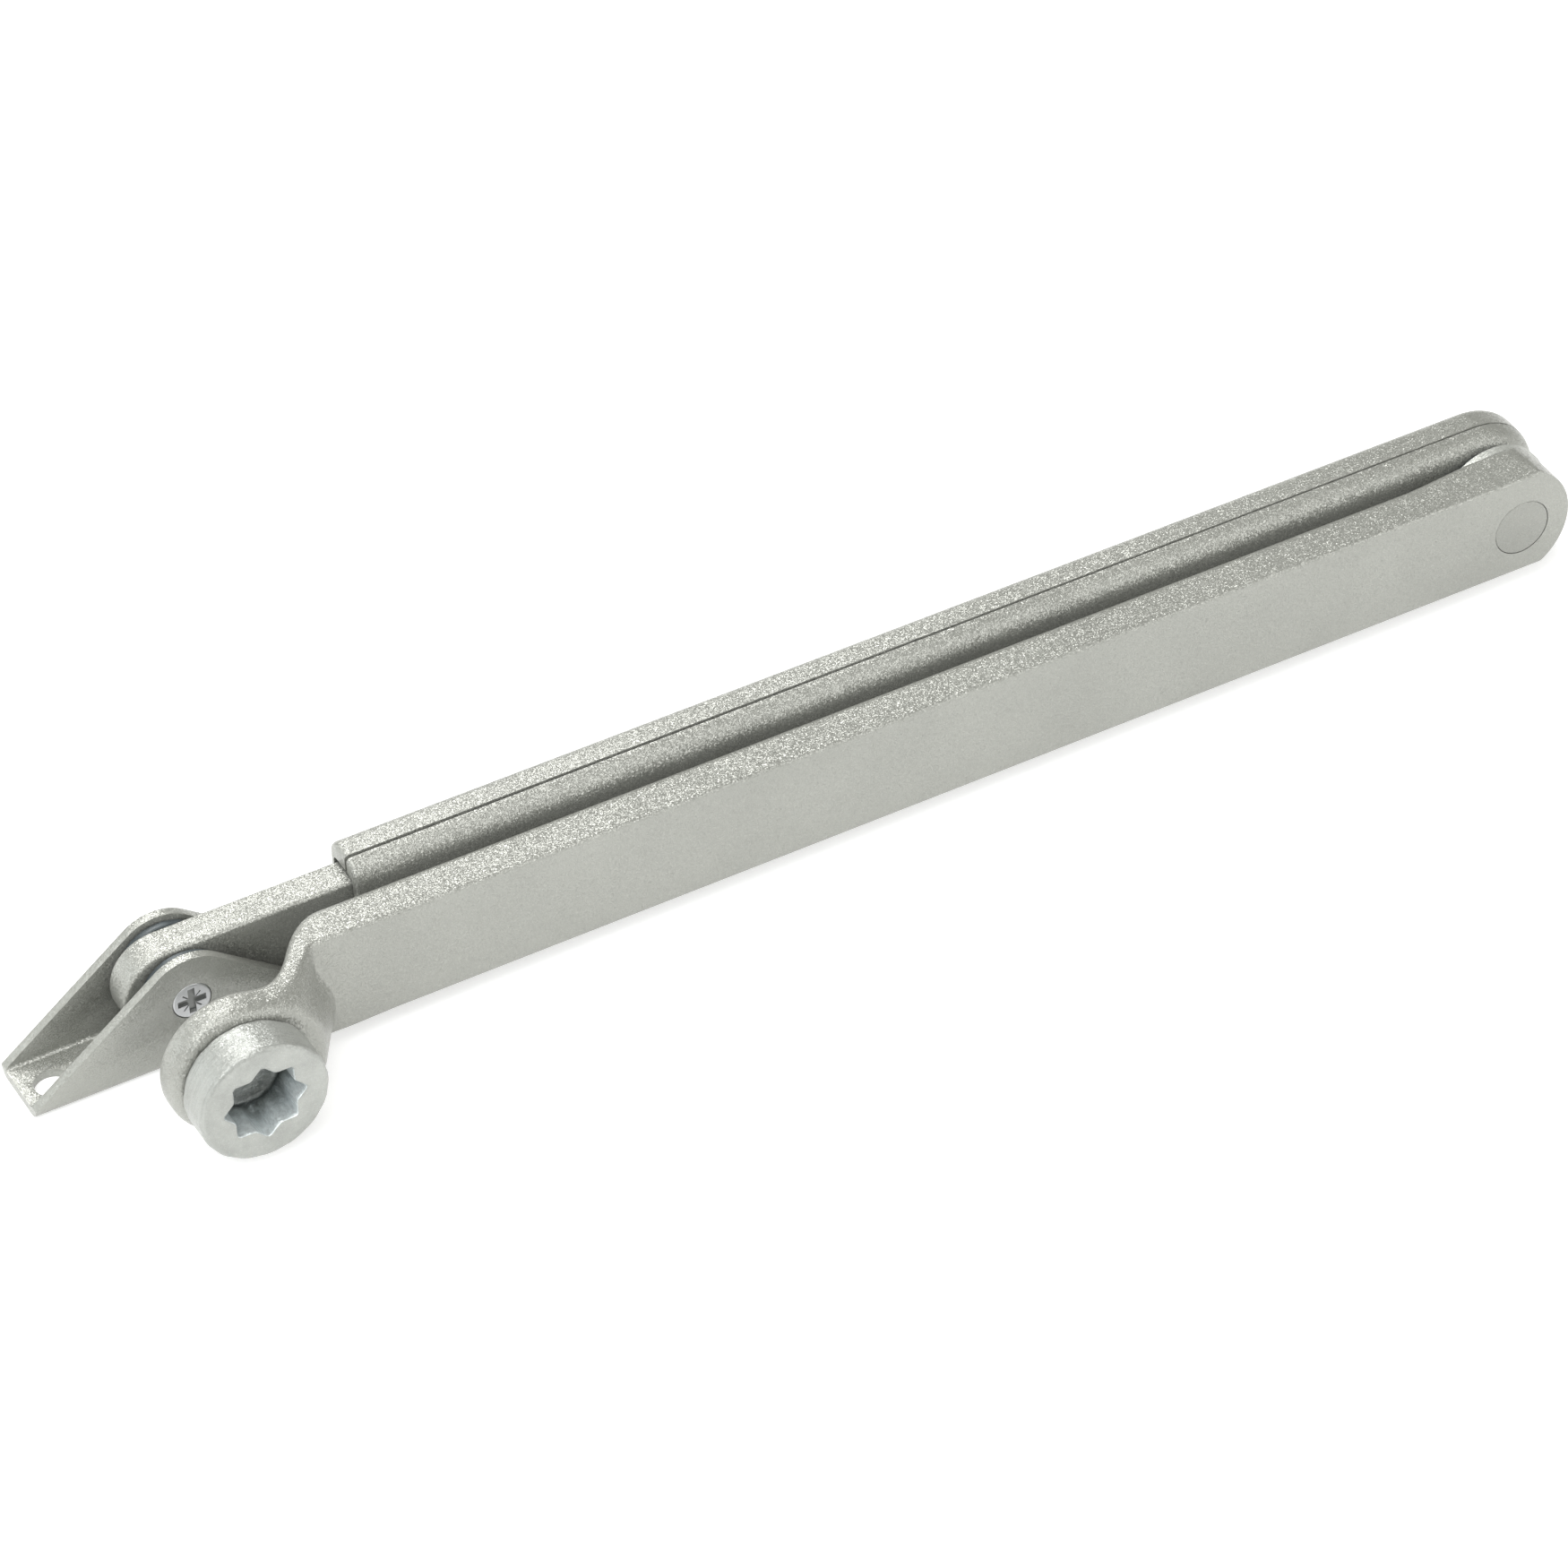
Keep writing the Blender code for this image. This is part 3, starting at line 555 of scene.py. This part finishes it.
def make_shoe():
    """One bent sheet: a base with two screw holes and two flanges with round tops."""
    left, right = span("shoe_bracket", 0)
    front, back = span("shoe_bracket", 1)
    foot, crest = span("shoe_bracket", 2)
    half_width, sheet, bend, above = (back - front) / 2, 1.6, 2.0, 20.0
    inner, inner_bend = half_width - sheet, bend - sheet + 0.25
    section = [(-half_width, above)] + arc(-half_width + bend, foot + bend, bend, 180, 270, 8)
    section += arc(half_width - bend, foot + bend, bend, 270, 360, 8)
    section += [(half_width, above), (inner, above)]
    section += arc(inner - inner_bend, foot + sheet + inner_bend, inner_bend, 360, 270, 6)
    section += arc(-inner + inner_bend, foot + sheet + inner_bend, inner_bend, 270, 180, 6)
    section += [(-inner, above)]
    shoe = loft("shoe_sheet", *([(x, SLEEVE_MIDDLE + y, z) for y, z in section] for x in (left, right)))
    half, apex, low = (right - left) / 2, crest - ROD_Z, foot - ROD_Z
    lip = low + 1.8
    slope = math.atan2(-lip, half) + math.asin(apex / math.hypot(half, lip))
    tangent = math.degrees(math.pi / 2 - slope)
    outline = [(-half, low), (half, low), (half, lip)] + arc(0, 0, apex, tangent, 180 - tangent, 40)
    side = placed(outline + [(-half, lip)], PIVOT, ROD_Z)
    cut(shoe, prism("side", side, SLEEVE_MIDDLE - 10, SLEEVE_MIDDLE + 10), "INTERSECT")
    pivot_hole, base_hole, base_offset, base_y = 3.33, 3.1, 22.3, SLEEVE_MIDDLE - 1.4
    hole(shoe, pivot_hole, SLEEVE_MIDDLE - 13, SLEEVE_MIDDLE + 13, PIVOT, ROD_Z, 64)
    for x in (PIVOT - base_offset, PIVOT + base_offset):
        rim = circle(x, base_y, base_hole, 64)
        cut(shoe, loft("base_hole", *([(a, b, z) for a, b in rim] for z in (foot - 4, foot + 4))))
    return bevel(shoe, 0.16, 2, 40)


def rectangle(left, right, half):
    return [(left, -half), (right, -half), (right, half), (left, half)]


def make_pivot_screw():
    """Cross-recessed screw with tapered arms and the four short marks between them."""
    front, end = SCREW_FRONT, SCREW_END
    head, shank, neck_y = 3.25, 3.1, 29.0
    profile = filleted([(0, end), (2.7, end), (shank, end - 0.4), (shank, neck_y + 0.4), (head, neck_y),
                        (head, front), (0, front)], [0, 0, 0, 0, 0, 0.3, 0], 5, closed=False)
    screw = turned("pivot_screw_turned", profile, PIVOT, ROD_Z, 96)
    depth = 0.55
    for turn in (0, 90):
        ends = []
        for y, length, half in ((front - 1, 2.7, 0.70), (front + depth, 2.25, 0.55)):
            wing = placed(rectangle(-length, length, half), PIVOT, ROD_Z, turn)
            ends.append([(x, y, z) for x, z in wing])
        cut(screw, loft("wing", *ends))
    for turn in (45, 135, 225, 315):
        mark = placed(rectangle(0.9, 2.1, 0.12), PIVOT, ROD_Z, turn)
        cut(screw, prism("mark", mark, front - 1, front + 0.25))
    return bevel(screw, 0.05, 1, 50)


def make_nut():
    """Thin hexagon nut with its corners chamfered by a cone."""
    front, back = span("pivot_nut", 1)
    half_flats = 5.0
    corners = arc(PIVOT, ROD_Z, half_flats / math.cos(math.pi / 6), 30, 330, 5)
    nut = prism("nut_hexagon", corners, front, back)
    cone = turned("cone", [(0, front - 1), (8, front - 1), (8, back - 2.0), (4.6, back), (0, back)],
                  PIVOT, ROD_Z, 96)
    cut(nut, cone, "INTERSECT")
    hole(nut, SCREW_RING, front - MARGIN, back + MARGIN, PIVOT, ROD_Z, 64)
    return bevel(nut, 0.1, 2, 30)


def make_set_screw():
    """Socket set screw with a hexagon recess."""
    point, end = span("clamp_screw", 1)
    profile = [(0, end), (2.6, end), (3.0, end - 0.4), (3.0, point + 0.8), (2.2, point), (0, point)]
    screw = turned("clamp_screw_turned", profile, CLAMP_X, ROD_Z, 64)
    hexagon = arc(CLAMP_X, ROD_Z, 1.73, 0, 300, 5)
    cut(screw, prism("hexagon", hexagon, end - 2.4, end + 2))
    return bevel(screw, 0.08, 2, 30)


def make_rivet():
    """The elbow rivet: flush in front, with a domed head behind."""
    shank, in_bar = 5.0, 5.1
    head_y, bar_y = 39.9, 26.0
    profile = filleted([(0, RIVET_BACK), (5.8, RIVET_BACK), (RIVET_RADIUS, RIVET_BACK - 1.2),
                        (RIVET_RADIUS, head_y), (shank, head_y), (shank, bar_y + 0.2), (in_bar, bar_y),
                        (in_bar, BAR_FRONT), (0, BAR_FRONT)], [0, 1.2, 0.3, 0, 0, 0, 0, 0.28, 0], 4,
                       closed=False)
    return turned("rivet_turned", profile, ARM_LENGTH, 0)


def make_clamp_bush():
    """The flanged bush round the set screw."""
    front, back = span("clamp_bush", 1)
    bore, outer, flange, flange_y = 3.3, 3.8, 6.0, 38.8
    profile = filleted([(bore, back), (flange, back), (flange, flange_y), (outer, flange_y), (outer, front),
                        (bore, front)], [0.15, 0.4, 0.1, 0, 0, 0], 3)
    return turned("clamp_bush_turned", profile, CLAMP_X, ROD_Z, 96)


def make_ring(name, node, bore, edge):
    """A flat ring as wide and thick as its CAD node."""
    left, right = span(node, 0)
    front, back = span(node, 1)
    profile = ring_profile((right - left) / 2, bore, front, back, edge)
    return turned(name, profile, (left + right) / 2, sum(span(node, 2)) / 2, 96)


def make_pieces(m):
    """Every finished piece, dressed from the materials by slot."""
    settle(make_arm(), "arm", ["main_arm"], m["arm_paint"])
    settle(make_hub(), "arm", ["spindle_hub"], m["hub_steel"])
    settle(make_sleeve(), "sleeve", ["forearm_sleeve"], m["sleeve_paint"])
    settle(make_rod(), "rod", ["forearm_rod"], m["rod_paint"])
    settle(make_shoe(), "shoe", ["shoe_bracket"], m["shoe_paint"])
    settle(make_pivot_screw(), "shoe", ["pivot_screw"], m["zinc_steel"])
    settle(make_nut(), "shoe", ["pivot_nut"], m["zinc_steel"])
    settle(make_set_screw(), "sleeve", ["clamp_screw"], m["black_screw"])
    settle(make_rivet(), "arm", ["elbow_pin"], m["pin_paint"])
    rings = (("spacer_turned", "elbow_spacer", "arm", "spacer_steel", PIN_RING, 0.12),
             ("elbow_washer_turned", "elbow_washer", "arm", "dark_washer", PIN_RING, 0.15),
             ("rear_washer_turned", "elbow_rear_washer", "arm", "dark_washer", PIN_RING, 0.15),
             ("front_washer_turned", "pivot_front_washer", "rod", "dark_washer", SCREW_RING, 0.3),
             ("back_washer_turned", "pivot_rear_washer", "rod", "dark_washer", SCREW_RING, 0.3))
    for name, node, body, slot, bore, edge in rings:
        settle(make_ring(name, node, bore, edge), body, [node], m[slot])
    settle(make_clamp_bush(), "sleeve", ["clamp_bush"], m["zinc_steel"])


# ---------------------------------------------------------------- materials

class Nodes:
    """A short way to write a material's nodes."""

    def __init__(self, name):
        self.material = bpy.data.materials.new(name)
        self.material.use_nodes = True
        self.tree = self.material.node_tree
        self.shader = self.tree.nodes["Principled BSDF"]
        self.coords = self.tree.nodes.new("ShaderNodeTexCoord").outputs["Object"]

    def link(self, source, target):
        self.tree.links.new(source, target)

    def feed(self, name, source):
        """Link a socket to the shader's input of that name."""
        self.link(source, self.shader.inputs[name])

    def set(self, **values):
        """Constant values for the shader's inputs."""
        for key, value in values.items():
            self.shader.inputs[key.replace("_", " ")].default_value = value

    def noise(self, scale, detail=2.0, roughness=0.5, stretch=(1, 1, 1)):
        """Noise with features of about 1/scale millimetres, stretched along the axes."""
        mapping = self.tree.nodes.new("ShaderNodeMapping")
        mapping.inputs["Scale"].default_value = [scale / MM * s for s in stretch]
        self.link(self.coords, mapping.inputs["Vector"])
        node = self.tree.nodes.new("ShaderNodeTexNoise")
        node.inputs["Scale"].default_value = 1.0
        node.inputs["Detail"].default_value = detail
        node.inputs["Roughness"].default_value = roughness
        self.link(mapping.outputs["Vector"], node.inputs["Vector"])
        return node.outputs["Fac"]

    def cells(self, size):
        """A random number for each cell of about the given size in millimetres."""
        mapping = self.tree.nodes.new("ShaderNodeMapping")
        mapping.inputs["Scale"].default_value = (1 / size / MM,) * 3
        self.link(self.coords, mapping.inputs["Vector"])
        node = self.tree.nodes.new("ShaderNodeTexVoronoi")
        node.inputs["Scale"].default_value = 1.0
        self.link(mapping.outputs["Vector"], node.inputs["Vector"])
        return node.outputs["Color"]

    def flake_normal(self, size, tilt):
        """The surface's normal, tilted at random in each cell as metal flakes tilt in a paint."""
        tree = self.tree
        offset = tree.nodes.new("ShaderNodeVectorMath")
        offset.operation = "SUBTRACT"
        offset.inputs[1].default_value = (0.5, 0.5, 0.5)
        self.link(self.cells(size), offset.inputs[0])
        scaled = tree.nodes.new("ShaderNodeVectorMath")
        scaled.operation = "SCALE"
        scaled.inputs["Scale"].default_value = tilt
        self.link(offset.outputs["Vector"], scaled.inputs[0])
        total = tree.nodes.new("ShaderNodeVectorMath")
        total.operation = "ADD"
        self.link(scaled.outputs["Vector"], total.inputs[0])
        self.link(tree.nodes.new("ShaderNodeNewGeometry").outputs["Normal"], total.inputs[1])
        unit = tree.nodes.new("ShaderNodeVectorMath")
        unit.operation = "NORMALIZE"
        self.link(total.outputs["Vector"], unit.inputs[0])
        return unit.outputs["Vector"]

    def ramp(self, fac, *stops):
        """A colour ramp with (position, colour or grey value) stops."""
        node = self.tree.nodes.new("ShaderNodeValToRGB")
        elements = node.color_ramp.elements
        while len(elements) < len(stops):
            elements.new(0.5)
        for element, (position, value) in zip(elements, stops):
            colour = value if isinstance(value, tuple) else (value,) * 3
            element.position = position
            element.color = (*colour, 1)
        self.link(fac, node.inputs["Fac"])
        return node.outputs["Color"]

    def mix(self, fac, a, b, blend="MIX"):
        """Mix two colours, each a socket or a constant."""
        node = self.tree.nodes.new("ShaderNodeMix")
        node.data_type = "RGBA"
        node.blend_type = blend
        for socket, value in ((node.inputs["Factor"], fac), (node.inputs["A"], a), (node.inputs["B"], b)):
            if isinstance(value, bpy.types.NodeSocket):
                self.link(value, socket)
            elif isinstance(value, tuple):
                socket.default_value = (*value, 1)
            else:
                socket.default_value = value
        return node.outputs["Result"]

    def axis_distance(self, x, z):
        """Distance in metres from the axis along Y through x and z, and the depth along it."""
        split = self.tree.nodes.new("ShaderNodeSeparateXYZ")
        self.link(self.coords, split.inputs["Vector"])
        squares = []
        for name, centre in (("X", x), ("Z", z)):
            offset = self.math("SUBTRACT", split.outputs[name], centre)
            squares.append(self.math("MULTIPLY", offset, offset))
        return self.math("SQRT", self.math("ADD", *squares)), split.outputs["Y"]

    def math(self, operation, a, b=0.0):
        """A math node on two values, each a socket or a constant."""
        node = self.tree.nodes.new("ShaderNodeMath")
        node.operation = operation
        for socket, value in zip(node.inputs, (a, b)):
            if isinstance(value, bpy.types.NodeSocket):
                self.link(value, socket)
            else:
                socket.default_value = value
        return node.outputs["Value"]

    def bump(self, height, depth, under=None):
        """A bump whose height of 1 stands for depth millimetres."""
        node = self.tree.nodes.new("ShaderNodeBump")
        node.inputs["Strength"].default_value = 1.0
        node.inputs["Distance"].default_value = depth * MM
        self.link(height, node.inputs["Height"])
        if under is not None:
            self.link(under, node.inputs["Normal"])
        return node.outputs["Normal"]


def shade(colour, factor):
    return tuple(c * factor for c in colour)


def metallic_paint(name, colour, grain=1.0, roughness=0.34):
    """Silver lacquer: metal flakes under an uneven skin."""
    n = Nodes(name)
    n.set(Metallic=0.55, Coat_Weight=0.08, Coat_Roughness=0.3)
    cloud = n.noise(0.05, detail=3)
    base = n.ramp(cloud, (0.3, shade(colour, 0.95)), (0.7, shade(colour, 1.05)))
    flake = n.ramp(n.cells(0.15), (0.0, 0.84), (0.8, 1.0), (1.0, 1.3))
    n.feed("Base Color", n.mix(0.7, base, flake, "MULTIPLY"))
    n.feed("Roughness", n.ramp(n.noise(2.2, detail=2), (0.25, roughness - 0.06), (0.75, roughness + 0.06)))
    tilted = n.flake_normal(0.15, 0.6 * grain)
    peel = n.bump(n.noise(1.9, detail=2), 0.007 * grain, tilted)
    n.feed("Normal", n.bump(n.noise(5.5, detail=2, roughness=0.6), 0.012 * grain, peel))
    return n.material


def turned_steel(name, colour, roughness=0.4, socket=False):
    """Painted steel turned about an axis along Y: fine rings on its sides under the flakes."""
    n = Nodes(name)
    n.set(Metallic=0.55)
    rings = n.noise(3.2, detail=3, roughness=0.65, stretch=(0.05, 1, 0.05))
    tint = n.ramp(rings, (0.32, shade(colour, 0.84)), (0.6, colour))
    flake = n.ramp(n.cells(0.15), (0.0, 0.86), (0.8, 1.0), (1.0, 1.25))
    base = n.mix(0.7, tint, flake, "MULTIPLY")
    if socket:
        # painted light and shade by depth inside the star socket
        base = socket_painted_shade(n, base)
    n.feed("Base Color", base)
    n.feed("Roughness", n.ramp(n.noise(1.2, detail=3), (0.25, roughness - 0.08), (0.75, roughness + 0.1)))
    grain = n.bump(n.noise(4.0, detail=2), 0.014, n.flake_normal(0.17, 0.4))
    n.feed("Normal", n.bump(rings, 0.035, grain))
    return n.material


def socket_painted_shade(n, outside):
    """Inside the star, painted shade darkens the walls with depth to a painted shadow line at their foot,
    with painted light near the mouth, over a mid-grey floor with broaching streaks.
    """
    radius, y = n.axis_distance(0.0, 0.0)
    inside = n.math("LESS_THAN", radius, 7.35 * MM)
    depth = n.math("MULTIPLY", y, 1 / (10 * MM))
    shade_depth = n.math("ADD", depth, n.math("MULTIPLY", n.noise(0.7, detail=4, roughness=0.6), 0.12))
    # painted light near the mouth, painted shade deeper in, a painted shadow line at the foot of the walls,
    # then the floor
    deep = n.ramp(shade_depth, (0.06, (0.70, 0.74, 0.74)), (0.42, (0.58, 0.63, 0.64)), (0.66, (0.33, 0.36, 0.36)),
                  (0.80, (0.09, 0.10, 0.10)), (0.88, (0.27, 0.28, 0.27)))
    streaks = n.ramp(n.noise(3.0, detail=3, stretch=(0.25, 0.25, 1.4)), (0.4, 0.85), (0.62, 1.15))
    below = n.math("GREATER_THAN", y, 0.15 * MM)
    mask = n.math("MULTIPLY", inside, below)
    return n.mix(mask, outside, n.mix(0.7, deep, streaks, "MULTIPLY"))


def zinc_plate(name, colour=(0.64, 0.65, 0.66)):
    """Blotchy zinc, with painted shade in the recess of the pivot screw."""
    n = Nodes(name)
    n.set(Metallic=0.8)
    blotch = n.noise(0.8, detail=4, roughness=0.6)
    plate = n.ramp(blotch, (0.3, shade(colour, 0.88)), (0.7, colour))
    radius, y = n.axis_distance(PIVOT * MM, ROD_Z * MM)
    deep = n.math("GREATER_THAN", y, (SCREW_FRONT + 0.1) * MM)
    shallow = n.math("LESS_THAN", y, (SCREW_FRONT + 1.2) * MM)
    inside = n.math("LESS_THAN", radius, 2.95 * MM)
    recess = n.math("MULTIPLY", inside, n.math("MULTIPLY", deep, shallow))
    # painted shade in the cross recess
    n.feed("Base Color", n.mix(recess, plate, (0.27, 0.275, 0.27)))
    n.feed("Roughness", n.ramp(blotch, (0.3, 0.3), (0.7, 0.42)))
    n.feed("Normal", n.bump(n.noise(2.5, detail=3), 0.01))
    return n.material


def dark_washer(name):
    """Slate-grey nylon with faint turning rings."""
    n = Nodes(name)
    n.set(Metallic=0.15, Specular_IOR_Level=0.5)
    cloud = n.noise(0.6, detail=3)
    n.feed("Base Color", n.ramp(cloud, (0.3, (0.040, 0.050, 0.054)), (0.7, (0.066, 0.080, 0.086))))
    n.feed("Roughness", n.ramp(cloud, (0.3, 0.38), (0.7, 0.5)))
    n.feed("Normal", n.bump(n.noise(4, detail=2), 0.008))
    return n.material


def bronze(name):
    """Porous sintered bronze."""
    n = Nodes(name)
    n.set(Metallic=1.0)
    pores = n.noise(3, detail=3)
    n.feed("Base Color", n.ramp(pores, (0.3, (0.30, 0.20, 0.10)), (0.7, (0.52, 0.38, 0.20))))
    n.feed("Roughness", n.ramp(pores, (0.3, 0.5), (0.7, 0.35)))
    n.feed("Normal", n.bump(pores, 0.02))
    return n.material


def black_oxide(name):
    """Blotchy black-oxide steel."""
    n = Nodes(name)
    n.set(Metallic=0.8)
    blotch = n.noise(1.5, detail=3)
    n.feed("Base Color", n.ramp(blotch, (0.3, 0.015), (0.7, 0.035)))
    n.feed("Roughness", n.ramp(blotch, (0.3, 0.34), (0.7, 0.48)))
    n.feed("Normal", n.bump(n.noise(3, detail=2), 0.01))
    return n.material


SILVER = (0.332, 0.336, 0.310)


def make_materials():
    """The finished materials by the record's slots."""
    return {
        "arm_paint": metallic_paint("silver_arm", SILVER),
        "sleeve_paint": metallic_paint("silver_sleeve", SILVER),
        "rod_paint": metallic_paint("silver_rod", shade(SILVER, 1.04), 0.9),
        "shoe_paint": metallic_paint("silver_shoe", shade(SILVER, 1.06), 0.8),
        "pin_paint": metallic_paint("silver_pin", shade(SILVER, 0.88), 0.8),
        "hub_steel": turned_steel("turned_hub", (0.39, 0.40, 0.378), socket=True),
        "spacer_steel": turned_steel("turned_spacer", (0.46, 0.47, 0.44), 0.48),
        "zinc_steel": zinc_plate("zinc"),
        "dark_washer": dark_washer("slate_washer"),
        "bearing_bronze": bronze("sintered_bronze"),
        "black_screw": black_oxide("black_oxide"),
    }


def dress_frame(materials):
    """Give every CAD node the finished material of its slot, and smooth its round faces."""
    for part in frame["record"]["subparts"]:
        node = frame["nodes"][part["node"]]
        for slot in node.material_slots:
            slot.link = "OBJECT"
            slot.material = materials[part["material_slot"]]
        node.data.shade_smooth()
        node.data.set_sharp_from_angle(angle=math.radians(30))


# ---------------------------------------------------------------- studio

def make_camera():
    azimuth, elevation = math.radians(VIEW_AZIMUTH), math.radians(VIEW_ELEVATION)
    ahead = Vector((math.sin(azimuth) * math.cos(elevation), math.cos(azimuth) * math.cos(elevation),
                    -math.sin(elevation)))
    data = bpy.data.cameras.new("camera")
    data.lens = LENS
    data.clip_start, data.clip_end = 0.05, 20
    camera = bpy.data.objects.new("camera", data)
    turn = ahead.to_track_quat("-Z", "Y") @ Matrix.Rotation(math.radians(VIEW_ROLL), 3, "Z").to_quaternion()
    camera.rotation_mode = "QUATERNION"
    camera.rotation_quaternion = turn
    camera.location = Vector(VIEW_TARGET) - ahead * VIEW_DISTANCE
    bpy.context.scene.collection.objects.link(camera)
    bpy.context.scene.camera = camera


def make_floor():
    size = 12.0
    bpy.ops.mesh.primitive_plane_add(size=size, location=(0, 0, cad_low.z))
    floor = bpy.context.active_object
    floor.name = "floor"
    n = Nodes("pale_floor")
    n.set(Roughness=0.9, Specular_IOR_Level=0.1)
    n.feed("Base Color", n.ramp(n.noise(0.004, detail=2), (0.3, 0.70), (0.7, 0.72)))
    n.set(Emission_Color=(1, 1, 1, 1), Emission_Strength=0.5)
    floor.data.materials.append(n.material)


COOL = (0.93, 0.97, 1.0)       # light from the left


def softbox(name, location, target, size, power, colour=(1, 1, 1)):
    light = bpy.data.lights.new(name, "AREA")
    light.color = colour
    light.shape = "RECTANGLE"
    light.size, light.size_y = size
    light.energy = power
    lamp = bpy.data.objects.new(name, light)
    lamp.location = location
    lamp.visible_camera = False
    lamp.rotation_euler = (Vector(target) - Vector(location)).to_track_quat("-Z", "Y").to_euler()
    bpy.context.scene.collection.objects.link(lamp)


def make_lights():
    centre = (cad_low + cad_high) / 2
    softbox("top_softbox", (-0.35, -0.5, 1.3), centre, (1.2, 0.9), 14)
    softbox("back_softbox", (-0.25, 0.7, 1.2), centre, (1.5, 0.7), 9)
    softbox("band_softbox", (0.08, 0.52, 0.5), (0.03, 0.02, 0), (0.35, 0.3), 2.2)
    softbox("back_left_softbox", (-1.1, 1.0, 0.4), centre, (0.8, 0.5), 4, COOL)
    softbox("front_left_softbox", (-0.8, -0.55, 1.15), centre, (0.7, 0.7), 2, COOL)
    softbox("left_softbox", (-1.3, -0.6, 0.6), centre, (0.7, 0.5), 5, COOL)
    softbox("front_right_softbox", (0.75, -0.95, 0.6), centre, (0.9, 0.6), 6)
    world = bpy.data.worlds.new("studio")
    world.use_nodes = True
    world.node_tree.nodes["Background"].inputs["Color"].default_value = (1.0, 1.0, 0.93, 1)
    world.node_tree.nodes["Background"].inputs["Strength"].default_value = 0.38
    bpy.context.scene.world = world


MATERIALS = make_materials()
dress_frame(MATERIALS)
make_pieces(MATERIALS)
make_camera()
make_floor()
make_lights()
bpy.context.scene.view_settings.view_transform = "Standard"
